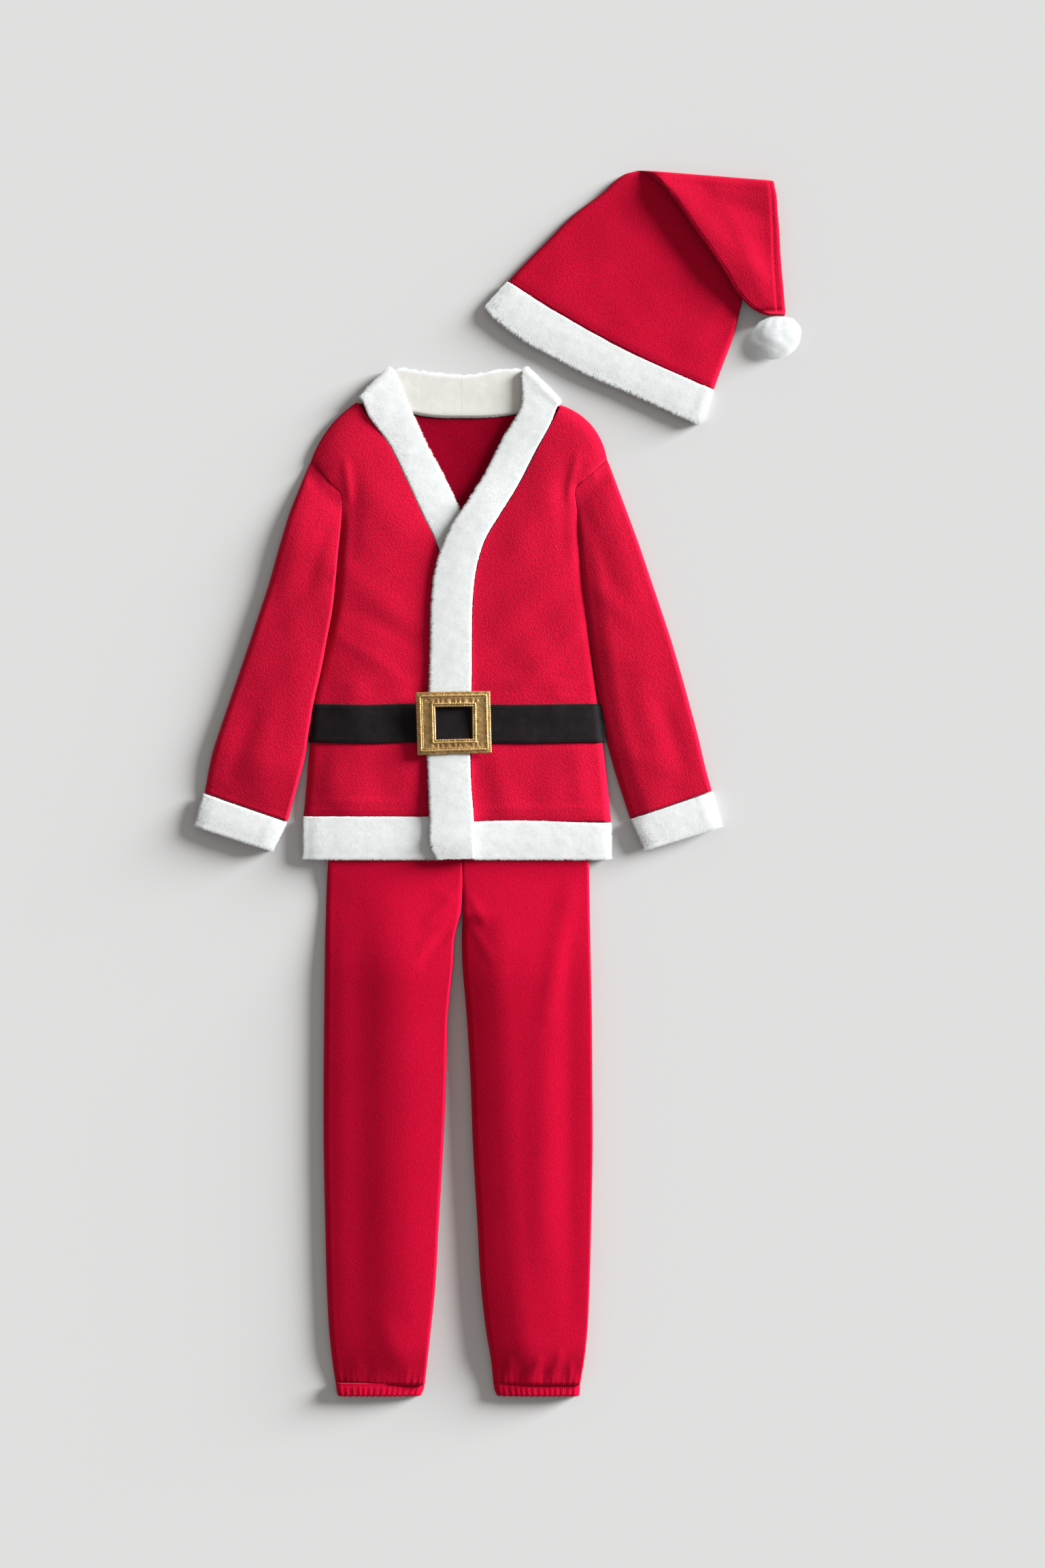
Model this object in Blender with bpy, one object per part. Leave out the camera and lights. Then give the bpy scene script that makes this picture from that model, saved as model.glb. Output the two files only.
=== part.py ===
"""A child's santa suit laid out flat: jacket over the tucked-in trousers, with its hat beside it.

+X is the wearer's left, +Y is towards the head and +Z is up off the surface that the cloth lies on.
Tables are in millimetres, measured from the centre front at the jacket's hem. The finished part is
moved so that its origin is at the middle of its underside.
"""
import math
from collections import namedtuple

import bmesh
import bpy
from mathutils import Vector

MM = 0.001
CLOTH = 2.6            # wall of the brushed fleece
SEAM_GAP = 0.3         # clearance between neighbouring pieces
HOLLOW = 3.6           # space left between a front panel and the back panel under it
RIM = CLOTH + SEAM_GAP                       # where a front panel's rim stands on its back panel
CREST = HOLLOW - SEAM_GAP + CLOTH            # a front panel's height above its rim
CROWN = 1.0            # extra thickness in the middle of a front panel
SIDE_ROLL = 14.0       # how far in from the edge a front panel levels out
FUR = 6.0              # wall of the fur trims
FUR_ROLL = 17.0

HEM_BACK_FUR = 4.0     # the back hem band, pressed flat by what lies on it
HEM_TOP = {"left": 41.0, "right": 46.6}
HEM_SIDE = {"left": 167.6, "right": -171.0}
HEM_FOOT = 1.0
CUFF_UNDER = 5.0
BELT_THICK = 1.6
BELT_LIFT = 0.5
BELT_RIGHT_END = -36.5     # the right half stops beside the fur band, under the buckle
BELT_RISE_FROM = 20.0      # the left half climbs onto the fur band from here
BELT_OVER_BAND = [(15.2, 0.4), (11.0, 0.0), (-9.0, 0.0), (-28.0, 0.0), (-36.0, 1.2), (-43.0, 2.4)]

CASING_TOP = -576.4
CASING_FOOT = -590.6
CASING_WALL = 3.0
GATHERS = 15
GATHER_DEPTH = 0.9

WAIST_FOOT = 92.0
WAIST_TOP = 118.0
WAIST_HALF = 126.0
WAIST_WALL = 3.0

RED = ("red_fleece", (0.55, 0.006, 0.02), 0.95, 0.0)
WHITE = ("white_fur", (0.86, 0.88, 0.87), 1.0, 0.0)
BLACK = ("belt_felt", (0.022, 0.018, 0.02), 0.8, 0.0)
GOLD = ("buckle_gold", (0.62, 0.36, 0.1), 0.35, 0.9)

# Both edges of a jacket front, from the hem to the shoulder: the seam to the fur band, and the
# side, armhole and sleeve cap. joined is 1 where the side is sewn to the sleeve, 0 where it is free.
FrontRow = namedtuple("FrontRow", "seam_x seam_y side_x side_y joined drop")
JACKET_LEFT = [
    FrontRow(17.2, 41.5, 167.6, 41.5, 0, 0),
    FrontRow(13.9, 84.0, 163.9, 84.0, 0, 0),
    FrontRow(13.1, 127.5, 159.4, 127.5, 0, 0),
    FrontRow(13.9, 170.2, 154.1, 170.2, 0, 0),
    FrontRow(14.6, 207.8, 148.9, 207.8, 0, 0),
    FrontRow(14.6, 245.2, 143.6, 245.2, 0.5, 0),
    FrontRow(15.4, 282.8, 139.9, 279.0, 1, 0),
    FrontRow(18.4, 312.8, 136.1, 311.2, 1, 0),
    FrontRow(28.9, 350.2, 133.1, 346.5, 1, 0),
    FrontRow(46.1, 379.5, 130.1, 378.0, 1, 0),
    FrontRow(68.6, 416.2, 127.9, 408.0, 1, 0),
    FrontRow(88.1, 453.8, 138.0, 417.3, 1, 0),
    FrontRow(102.4, 480.4, 148.3, 426.8, 1, 0.6),
    FrontRow(108.4, 492.0, 157.1, 435.0, 0.6, 1.6),
    FrontRow(112.1, 499.5, 163.1, 440.2, 0, 3.3),
]
JACKET_RIGHT = [
    FrontRow(-18.4, 47.2, -170.6, 48.0, 0, 0),
    FrontRow(-17.6, 84.0, -167.6, 84.0, 0, 0),
    FrontRow(-16.9, 127.5, -163.9, 127.5, 0, 0),
    FrontRow(-16.9, 170.2, -160.1, 170.2, 0, 0),
    FrontRow(-16.1, 207.8, -151.9, 207.8, 0, 0),
    FrontRow(-16.1, 245.2, -145.6, 241.5, 0.5, 0),
    FrontRow(-16.1, 279.0, -139.9, 271.5, 1, 0),
    FrontRow(-16.9, 309.0, -136.1, 305.0, 1, 0),
    FrontRow(-23.6, 344.2, -133.1, 339.0, 1, 0),
    FrontRow(-40.1, 378.8, -130.1, 369.0, 1, 0),
    FrontRow(-58.1, 417.8, -128.6, 399.8, 1, 0),
    FrontRow(-77.6, 456.8, -138.0, 410.6, 1, 0),
    FrontRow(-99.4, 486.0, -148.0, 422.2, 1, 0.6),
    FrontRow(-107.6, 496.5, -156.0, 431.4, 0.6, 1.6),
    FrontRow(-112.1, 502.5, -162.4, 438.8, 0, 3.3),
]
BELT_ROWS = (2, 3)     # the jacket rows that the belt's two edges follow

# How the layers stack at the centre front, by height up the jacket: a front panel's crest and its
# seam edge above the rim, then the underside and thickness of the hidden and the visible fur band.
Stack = namedtuple("Stack", "y crest seam_edge hidden_under hidden_thick band_under band_thick")
STACK = [
    Stack(0, 9.8, 13.2, 10.1, 6.0, 16.4, 6.0),
    Stack(47, 9.8, 13.2, 10.1, 6.0, 16.4, 6.0),
    Stack(62, 9.8, 12.0, 10.1, 4.5, 14.9, 6.5),
    Stack(120, 9.8, 12.0, 10.1, 4.5, 14.9, 5.4),
    Stack(185, 5.9, 7.4, 2.9, 5.5, 9.1, 6.2),
    Stack(340, 5.9, 6.6, 2.9, 5.8, 9.1, 6.6),
    Stack(380, 5.9, 5.9, 2.9, 6.5, 9.1, 6.6),
    Stack(600, 5.9, 5.9, 2.9, 6.5, 2.9, 6.6),
]

# A fur band in front, from the hem to the fold at the side of the neck: its seam edge, its free
# edge, and the height of each edge's underside, where that isn't the stack's.
BandRow = namedtuple("BandRow", "seam_x seam_y free_x free_y seam_z free_z")
BAND_LEFT = [
    BandRow(17.0, 1.2, -23.5, 0.4, None, None),
    BandRow(16.8, 12.0, -28.1, 12.0, None, None),
    BandRow(16.7, 41.2, -25.9, 41.2, None, None),
    BandRow(13.5, 84.0, -31.1, 84.0, None, None),
    BandRow(12.7, 127.5, -32.6, 127.5, None, None),
    BandRow(13.5, 170.2, -31.1, 170.2, None, None),
    BandRow(14.2, 207.8, -30.0, 207.8, None, None),
    BandRow(14.2, 245.2, -29.2, 245.2, None, None),
    BandRow(15.0, 282.8, -28.1, 282.8, None, None),
    BandRow(18.0, 312.8, -25.1, 312.8, None, None),
    BandRow(28.5, 350.4, -10.9, 356.2, 9.5, 9.5),
    BandRow(45.7, 379.8, 10.1, 390.0, 7.4, 9.5),
    BandRow(68.2, 416.5, 31.1, 423.8, 3.4, 5.6),
    BandRow(87.7, 454.2, 50.6, 462.8, 3.2, 4.8),
    BandRow(101.8, 481.0, 71.0, 499.5, 4.6, 6.3),
]
BAND_RIGHT = [
    BandRow(-18.0, 1.2, 12.4, 0.8, None, None),
    BandRow(-18.0, 47.2, 12.4, 47.2, None, None),
    BandRow(-17.2, 84.0, 12.4, 84.0, None, None),
    BandRow(-16.5, 127.5, 12.4, 127.5, None, None),
    BandRow(-16.5, 170.2, 12.6, 170.2, None, None),
    BandRow(-15.7, 207.8, 13.2, 207.8, None, None),
    BandRow(-15.7, 245.2, 13.2, 245.2, None, None),
    BandRow(-15.7, 279.0, 13.6, 279.0, None, None),
    BandRow(-16.5, 309.0, 15.0, 309.0, None, None),
    BandRow(-23.2, 344.4, 16.9, 350.2, 2.9, 2.9),
    BandRow(-39.7, 379.0, 2.6, 378.8, 2.9, 2.9),
    BandRow(-57.7, 418.0, -18.4, 421.5, 3.2, 3.2),
    BandRow(-77.2, 457.1, -39.4, 461.2, 3.4, 4.8),
    BandRow(-98.9, 486.4, -55.5, 497.0, 5.6, 6.6),
]

# The strip behind the neck, from the centre-back seam to the fold: its seam edge and its free edge.
NeckRow = namedtuple("NeckRow", "seam_x seam_y free_x free_y")
NECK_LEFT = [
    NeckRow(3.6, 485.6, 3.6, 531.8),
    NeckRow(22.9, 485.6, 22.9, 534.0),
    NeckRow(41.6, 486.8, 40.6, 537.6),
    NeckRow(65.6, 490.5, 56.0, 539.0),
    NeckRow(90.4, 496.5, 66.0, 538.6),
]
NECK_RIGHT = [
    NeckRow(3.2, 485.6, 3.2, 531.8),
    NeckRow(-14.6, 485.6, -14.6, 533.2),
    NeckRow(-37.1, 487.5, -37.1, 535.9),
    NeckRow(-55.9, 491.2, -52.0, 538.5),
    NeckRow(-82.1, 498.0, -65.0, 539.6),
]
NECK_THICK = 5.5
FOLD_AXIS_Z = 5.9
FOLD_BORE = 0.4        # radius inside the turned-over strip
FOLD_THICK = 5.9
NECK_FOLD = {"left": ((71.7, 537.1), (109.9, 499.5)), "right": ((-73.3, 537.1), (-107.0, 504.1))}
FOLD_STEPS = 6

# A sleeve from the cap seam to the cuff: its inner edge, then its outer edge.
SleeveRow = namedtuple("SleeveRow", "in_x in_y out_x out_y joined crest")
SLEEVE_LEFT = [
    SleeveRow(128.6, 407.2, 163.7, 439.4, 1, 4.6),
    SleeveRow(130.6, 378.0, 174.0, 412.0, 1, CREST),
    SleeveRow(133.6, 346.5, 186.0, 380.0, 1, CREST),
    SleeveRow(136.6, 311.2, 198.5, 346.0, 1, CREST),
    SleeveRow(140.4, 279.0, 209.5, 313.5, 1, CREST),
    SleeveRow(144.1, 245.2, 220.5, 281.0, 0.5, CREST),
    SleeveRow(149.4, 207.8, 232.5, 245.0, 0, CREST),
    SleeveRow(155.0, 170.2, 245.0, 203.0, 0, CREST),
    SleeveRow(161.0, 137.0, 255.5, 165.0, 0, CREST),
    SleeveRow(167.0, 113.5, 264.0, 133.0, 0, CREST),
    SleeveRow(173.5, 91.0, 270.0, 107.0, 0, CREST),
    SleeveRow(188.6, 44.3, 278.6, 75.0, 0, CREST),
]
SLEEVE_RIGHT = [
    SleeveRow(-129.4, 399.0, -163.0, 438.0, 1, 4.6),
    SleeveRow(-130.6, 369.0, -174.0, 412.0, 1, CREST),
    SleeveRow(-133.6, 339.0, -186.0, 382.0, 1, CREST),
    SleeveRow(-136.6, 305.0, -198.0, 343.0, 1, CREST),
    SleeveRow(-140.4, 271.5, -209.5, 302.0, 1, CREST),
    SleeveRow(-146.1, 241.5, -220.0, 270.0, 0.5, CREST),
    SleeveRow(-152.5, 207.8, -231.0, 237.0, 0, CREST),
    SleeveRow(-161.0, 170.2, -242.5, 203.0, 0, CREST),
    SleeveRow(-165.0, 140.0, -252.0, 175.0, 0, CREST),
    SleeveRow(-168.5, 113.5, -262.0, 146.0, 0, CREST),
    SleeveRow(-176.0, 85.0, -271.0, 118.0, 0, CREST),
    SleeveRow(-188.6, 41.3, -280.1, 73.0, 0, CREST),
]
CuffRow = namedtuple("CuffRow", "in_x in_y out_x out_y crest")
CUFF_LEFT = [
    CuffRow(188.9, 43.4, 279.4, 74.2, 7.0),
    CuffRow(191.0, 37.0, 281.6, 67.5, 8.6),
    CuffRow(196.3, 26.5, 285.6, 55.5, 9.0),
    CuffRow(201.3, 16.0, 288.8, 43.5, 8.6),
    CuffRow(203.8, 10.8, 289.3, 37.2, 7.0),
]
CUFF_RIGHT = [
    CuffRow(-188.9, 40.4, -281.0, 72.0, 7.0),
    CuffRow(-191.0, 34.0, -283.4, 65.0, 8.6),
    CuffRow(-196.3, 24.5, -286.8, 53.5, 9.0),
    CuffRow(-201.5, 15.0, -289.4, 43.0, 8.6),
    CuffRow(-204.0, 10.2, -289.9, 37.6, 7.0),
]

# The trousers from under the waistband to above the ankle casings: the height up the garment, the
# outer and inner edge of each leg, the underside of the back panel and the front panel's crest.
LegRow = namedtuple("LegRow", "y right_out right_in left_in left_out under crest")
TROUSERS = [
    LegRow(91.7, -127.0, 3.9, 4.3, 127.0, 2.9, 2.6),
    LegRow(70.0, -133.0, 3.9, 4.3, 133.0, 2.9, 2.6),
    LegRow(50.0, -137.0, 3.9, 4.3, 137.0, 4.3, 2.6),
    LegRow(22.0, -141.0, 3.9, 4.3, 140.6, 4.3, 2.6),
    LegRow(-6.0, -143.8, 3.9, 4.3, 143.2, 4.3, 2.6),
    LegRow(-32.0, -145.6, 3.9, 4.3, 143.8, 0.0, 6.8),
    LegRow(-58.0, -146.3, 2.4, 4.4, 144.2, 0.0, 6.2),
    LegRow(-87.0, -147.2, -4.4, 3.4, 144.8, 0.0, CREST),
    LegRow(-111.0, -147.6, -5.7, 3.8, 145.2, 0.0, CREST),
    LegRow(-170.0, -148.3, -11.7, 8.4, 146.5, 0.0, CREST),
    LegRow(-240.0, -148.9, -13.7, 12.7, 147.0, 0.0, CREST),
    LegRow(-313.5, -148.9, -16.9, 15.4, 147.4, 0.0, CREST),
    LegRow(-400.0, -147.2, -22.0, 20.3, 145.8, 0.0, CREST),
    LegRow(-478.5, -145.1, -26.6, 25.1, 143.6, 0.0, CREST),
    LegRow(-520.0, -142.8, -31.0, 30.0, 141.5, 0.0, CREST),
    LegRow(-555.0, -139.0, -34.8, 35.8, 137.6, 0.0, 6.4),
    LegRow(-576.0, -135.8, -37.2, 37.8, 133.8, 0.0, 6.6),
]
CASINGS = {"right": (-135.4, -37.6, -133.4, -42.0), "left": (38.2, 133.6, 42.0, 132.6)}

# The hat's body, from its fur band to the fold: its left and right edges, and how far the row bows
# towards the band.
HatRow = namedtuple("HatRow", "left_x left_y right_x right_y bow")
HAT_BODY = [
    HatRow(53.6, 636.0, 280.9, 516.8, -6.5),
    HatRow(73.1, 656.2, 286.1, 531.8, -6.0),
    HatRow(93.4, 676.5, 292.1, 547.5, -5.0),
    HatRow(124.1, 707.2, 303.4, 578.2, -4.0),
    HatRow(155.6, 731.2, 312.4, 615.0, -2.0),
    HatRow(171.4, 745.5, 325.1, 667.5, 0.0),
    HatRow(182.6, 750.0, 335.6, 705.0, 0.0),
    HatRow(190.9, 748.1, 346.1, 736.1, 0.0),
]
HatBandRow = namedtuple("HatBandRow", "low_x low_y high_x high_y back_thick front_thick")
HAT_BAND = [
    HatBandRow(29.6, 609.0, 53.2, 635.1, 4.0, 4.0),
    HatBandRow(34.5, 601.0, 59.6, 631.4, 5.0, 6.6),
    HatBandRow(46.0, 590.5, 72.0, 623.4, 5.0, 7.5),
    HatBandRow(75.0, 569.5, 100.0, 606.1, 5.0, 7.5),
    HatBandRow(103.1, 554.3, 126.3, 590.9, 5.0, 7.5),
    HatBandRow(138.4, 535.5, 162.0, 571.1, 5.0, 7.5),
    HatBandRow(186.4, 514.5, 205.0, 549.5, 5.0, 7.5),
    HatBandRow(222.4, 498.0, 241.9, 532.7, 5.0, 7.5),
    HatBandRow(250.0, 485.6, 266.0, 522.0, 5.0, 7.5),
    HatBandRow(264.5, 480.2, 276.5, 517.9, 5.0, 6.6),
    HatBandRow(270.5, 482.0, 280.6, 516.1, 4.0, 4.0),
]
# The folded-over tip: both edges of each row, the height of its underside where it stands on the
# surface itself (None where it lies on the body) and its thickness.
TipRow = namedtuple("TipRow", "left_x left_y right_x right_y under thick")
HAT_TIP = [
    TipRow(192.0, 757.2, 346.6, 745.4, 2.0, 11.0),
    TipRow(197.0, 754.6, 347.2, 742.9, 0.0, 16.0),
    TipRow(209.0, 747.9, 347.5, 737.2, 0.0, 17.2),
    TipRow(209.4, 747.5, 347.6, 736.8, None, 7.0),
    TipRow(222.4, 739.5, 349.5, 727.0, None, 7.0),
    TipRow(234.4, 725.2, 350.8, 711.0, None, 7.0),
    TipRow(246.4, 708.8, 352.0, 696.0, None, 7.0),
    TipRow(258.4, 690.8, 353.0, 680.0, None, 7.0),
    TipRow(272.6, 671.2, 353.8, 663.0, None, 7.0),
    TipRow(289.1, 647.2, 355.4, 642.0, None, 6.8),
    TipRow(307.0, 619.5, 357.6, 617.0, None, 6.6),
    TipRow(324.0, 603.5, 358.4, 605.5, None, 6.4),
    TipRow(332.0, 600.0, 358.9, 601.4, 3.0, 12.0),
    TipRow(339.0, 596.9, 358.0, 597.0, 11.0, 10.5),
]
TIP_ON_BODY = 10.4     # underside of the tip where it lies on the body
TIP_OVERHANG = 4.0     # how far past the body's edge it starts to drop
TIP_DROP = 5.0         # and over what width it reaches the surface

POMPOM_CENTRE = (350.3, 573.2, 22.0)
POMPOM_HALF = (28.0, 23.2, 23.0)
POMPOM_PLEATS = 10
POMPOM_PLEAT_DEPTH = 0.06

BUCKLE_CORNERS = [(-47.0, 182.8), (34.6, 184.4), (36.4, 116.6), (-45.0, 114.0)]
BUCKLE_WINDOW = [(-25.4, 166.6), (14.8, 167.0), (15.2, 132.3), (-24.4, 131.3)]
BUCKLE_LIFT = 0.5
# Across the gold frame, from its outer to its inner edge: the fraction of the width and the height.
BUCKLE_SECTION = [(0.0, 0.0), (0.0, 2.2), (0.07, 3.4), (0.17, 3.4), (0.26, 2.2),
                  (0.66, 2.2), (0.72, 3.0), (0.86, 3.0), (0.95, 2.0), (1.0, 1.4), (1.0, 0.0)]

# The largest folds: the panel, the line that the fold runs along, its half width and its lift.
Fold = namedtuple("Fold", "panel x0 y0 x1 y1 half lift")
FOLDS = [
    Fold("trouser_front_right", -106, -60, -104, -520, 20, -1.0),
    Fold("trouser_front_right", -60, -90, -52, -500, 24, 1.3),
    Fold("trouser_front_right", -20, -45, -40, -80, 7, 0.9),
    Fold("trouser_front_left", 128, -8, 96, -170, 12, 1.6),
    Fold("trouser_front_left", 96, -170, 104, -420, 16, 1.2),
    Fold("trouser_front_left", 50, -120, 70, -500, 22, -0.8),
    Fold("trouser_front_left", 18, -50, 36, -82, 7, 0.9),
    Fold("jacket_front_right", -122, 440, -124, 330, 9, 1.2),
    Fold("jacket_front_right", -60, 360, -118, 290, 16, 0.9),
    Fold("jacket_front_left", 124, 440, 122, 320, 9, 1.2),
    Fold("jacket_front_left", 50, 330, 112, 270, 16, 0.9),
    Fold("sleeve_right_top", -170, 380, -205, 230, 12, 1.0),
    Fold("sleeve_right_top", -205, 190, -235, 90, 14, 0.8),
    Fold("sleeve_left_top", 165, 370, 200, 230, 12, 1.0),
    Fold("sleeve_left_top", 205, 180, 235, 90, 14, 0.8),
    Fold("hat_front", 120, 640, 230, 600, 26, 0.9),
    Fold("hat_front", 200, 700, 240, 620, 18, 0.9),
]


# ------------------------------------------------------------------ shared helpers

def clamp(value, low=0.0, high=1.0):
    return max(low, min(high, value))


def mix(a, b, t):
    return a + (b - a) * t


def stack_at(y):
    """The centre front's stack at a height up the jacket, read between the table's rows."""
    for low, high in zip(STACK, STACK[1:]):
        if y <= high.y:
            t = clamp((y - low.y) / (high.y - low.y))
            return Stack(*[mix(p, q, t) for p, q in zip(low, high)])
    return STACK[-1]


def quarter(q):
    """A quarter round: 0 at the edge, 1 once it has levelled out."""
    return math.sqrt(1.0 - (1.0 - clamp(q)) ** 2)


def fold_lift(panel, x, y):
    lift = 0.0
    for fold in FOLDS:
        if fold.panel != panel:
            continue
        start = Vector((fold.x0, fold.y0))
        along = Vector((fold.x1, fold.y1)) - start
        t = (Vector((x, y)) - start).dot(along) / along.length_squared
        away = (Vector((x, y)) - start - along * clamp(t)).length / fold.half
        lift += fold.lift * math.exp(-away * away)
    return lift


def material(spec):
    name, colour, roughness, metallic = spec
    made = bpy.data.materials.get(name) or bpy.data.materials.new(name)
    made.use_nodes = True
    shader = made.node_tree.nodes["Principled BSDF"]
    shader.inputs["Base Color"].default_value = (*colour, 1.0)
    shader.inputs["Roughness"].default_value = roughness
    shader.inputs["Metallic"].default_value = metallic
    made.diffuse_color = (*colour, 1.0)
    return made


def add_object(name, bm, spec):
    bmesh.ops.recalc_face_normals(bm, faces=bm.faces)
    bmesh.ops.scale(bm, vec=(MM, MM, MM), verts=bm.verts)
    mesh = bpy.data.meshes.new(name)
    bm.to_mesh(mesh)
    bm.free()
    mesh.materials.append(material(spec))
    made = bpy.data.objects.new(name, mesh)
    suit.objects.link(made)
    return made


def loft(name, rings, spec, closed=False):
    """Skin matching rings of points. Open ends are closed with a strip across each end ring."""
    bm = bmesh.new()
    rows = [[bm.verts.new(point) for point in ring] for ring in rings]
    count = len(rows[0])
    pairs = list(zip(rows, rows[1:]))
    if closed:
        pairs.append((rows[-1], rows[0]))
    for near, far in pairs:
        for i in range(count):
            j = (i + 1) % count
            bm.faces.new((near[i], near[j], far[j], far[i]))
    if not closed:
        for ring in (rows[0], rows[-1]):
            for i in range(count // 2 - 1):
                bm.faces.new((ring[i], ring[i + 1], ring[count - 2 - i], ring[count - 1 - i]))
    return add_object(name, bm, spec)


def plate(name, outline, under, thick, spec):
    """A flat piece cut to an outline."""
    bm = bmesh.new()
    face = bm.faces.new([bm.verts.new((x, y, under)) for x, y in outline])
    grown = bmesh.ops.extrude_face_region(bm, geom=[face])
    raised = [item for item in grown["geom"] if isinstance(item, bmesh.types.BMVert)]
    bmesh.ops.translate(bm, vec=(0, 0, thick), verts=raised)
    bmesh.ops.triangulate(bm, faces=bm.faces)
    return add_object(name, bm, spec)


def stations(width, roll_a, roll_b, middle):
    """Distances across a panel, close together where its two edges round over."""
    edges = (0.0, 0.1, 0.35, 1.0)
    near = [roll_a * e for e in edges]
    far = [width - roll_b * e for e in reversed(edges)]
    step = (far[0] - near[-1]) / (middle + 1)
    return near + [near[-1] + step * (i + 1) for i in range(middle)] + far


def dome_line(a, b, base, crest, edge_a, edge_b, roll_a, roll_b, middle, bow=0.0, crown=0.0,
              panel=None, gathers=0):
    """One line of points across a front panel, from edge a to edge b."""
    start = Vector(a)
    along = Vector(b) - start
    width = along.length
    along /= width
    across = Vector((-along.y, along.x))
    roll_a = min(roll_a, width * 0.45)
    roll_b = min(roll_b, width * 0.45)
    if gathers:
        places = [width * i / (gathers * 3) for i in range(gathers * 3 + 1)]
    else:
        places = stations(width, roll_a, roll_b, middle)
    line = []
    for s in places:
        u = s / width
        hump = 4.0 * u * (1.0 - u)
        spot = start + along * s + across * bow * hump
        rise_a = mix(edge_a, crest, quarter(s / roll_a))
        rise_b = mix(edge_b, crest, quarter((width - s) / roll_b))
        z = rise_a + rise_b - crest + crown * hump
        if panel:
            z += fold_lift(panel, spot.x, spot.y) * min(1.0, hump * 3.0)
        if gathers:
            z += GATHER_DEPTH * math.cos(2.0 * math.pi * gathers * u) * min(1.0, hump * 4.0)
        line.append((spot.x, spot.y, base + z))
    return line


def dome_ring(a, b, base, crest, edge_a=0.0, edge_b=0.0, roll_a=SIDE_ROLL, roll_b=SIDE_ROLL,
              wall=CLOTH, middle=3, bow=0.0, crown=CROWN, panel=None, gathers=0):
    """A front panel's cross-section: its outer line, then its inner line a wall further in."""
    outer = dome_line(a, b, base, crest, edge_a, edge_b, roll_a, roll_b, middle, bow, crown,
                      panel, gathers)
    inset_a = wall * clamp(1.0 - edge_a / wall)
    inset_b = wall * clamp(1.0 - edge_b / wall)
    start = Vector(a)
    along = (Vector(b) - start).normalized()
    inner_a = start + along * inset_a
    inner_b = Vector(b) - along * inset_b
    inner = dome_line(inner_a, inner_b, base, crest - wall, max(edge_a - wall, 0.0),
                      max(edge_b - wall, 0.0), roll_a - inset_a * 0.6, roll_b - inset_b * 0.6,
                      middle, bow)
    if gathers:
        inner = [(x, y, z) for x, y, z in
                 dome_line(inner_a, inner_b, base, crest - wall, 0.0, 0.0, roll_a - inset_a * 0.6,
                           roll_b - inset_b * 0.6, middle, bow, 0.0, None, gathers)]
        inner = [(x, y, max(z - GATHER_DEPTH, base)) for x, y, z in inner]
    return outer + inner[::-1]


def strip_ring(a, b, up, thick, crown=0.0):
    """A flat strip's cross-section between two edge points, with rounded edges."""
    a = Vector(a)
    b = Vector(b)
    up = Vector(up)
    width = (b - a).length
    along = (b - a) / width
    edge = min(0.45 * thick, width * 0.2)
    section = [(0.0, 0.4 * thick), (edge, 0.0), (width / 3, 0.0), (width * 2 / 3, 0.0),
               (width - edge, 0.0), (width, 0.4 * thick), (width - 0.25 * edge, 0.75 * thick),
               (width - 1.3 * edge, thick), (width * 2 / 3, thick + crown),
               (width / 3, thick + crown), (1.3 * edge, thick), (0.25 * edge, 0.75 * thick)]
    return [tuple(a + along * s + up * n) for s, n in section]


# ------------------------------------------------------------------ jacket

def front_ring(name, row, seam_raised):
    stack = stack_at(min(row.seam_y, row.side_y))
    crest = stack.crest - row.drop
    seam_edge = stack.seam_edge - row.drop if seam_raised else crest
    side_edge = row.joined * (crest - 0.9)
    return dome_ring((row.seam_x, row.seam_y), (row.side_x, row.side_y), RIM, crest,
                     seam_edge, side_edge, roll_a=26.0, roll_b=SIDE_ROLL + 2.0, middle=4,
                     crown=CROWN * (1.0 - row.drop / 3.3), panel=name)


def jacket_fronts():
    lines = {}
    for side, rows in (("left", JACKET_LEFT), ("right", JACKET_RIGHT)):
        name = "jacket_front_" + side
        rings = [front_ring(name, row, side == "left") for row in rows]
        loft(name, rings, RED)
        lines[side] = [ring[:len(ring) // 2] for ring in rings]
    return lines


def jacket_back():
    outline = [(row.side_x, row.side_y) for row in JACKET_LEFT[1:]]
    outline += [(row.seam_x, row.seam_y - 0.5) for row in reversed(NECK_LEFT)]
    outline += [(row.seam_x, row.seam_y - 0.5) for row in NECK_RIGHT[1:]]
    outline += [(row.side_x, row.side_y) for row in reversed(JACKET_RIGHT[1:])]
    neck_left = (JACKET_LEFT[-1].seam_x, JACKET_LEFT[-1].seam_y - 0.4)
    neck_right = (JACKET_RIGHT[-1].seam_x + 1.5, JACKET_RIGHT[-1].seam_y - 0.6)
    split = len(JACKET_LEFT) - 1
    outline.insert(split, neck_left)
    outline.insert(split + 1 + len(NECK_LEFT) + len(NECK_RIGHT) - 1, neck_right)
    left_foot, right_foot = [(HEM_SIDE[side], HEM_TOP[side] + SEAM_GAP) for side in ("left", "right")]
    plate("jacket_back", [left_foot] + outline + [right_foot], 0.0, CLOTH, RED)
    hem = [(HEM_SIDE["right"], HEM_FOOT), (HEM_SIDE["left"], HEM_FOOT),
           (HEM_SIDE["left"], HEM_TOP["left"]), (HEM_SIDE["right"], HEM_TOP["right"])]
    plate("hem_band_back", hem, 0.0, HEM_BACK_FUR, WHITE)


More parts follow.
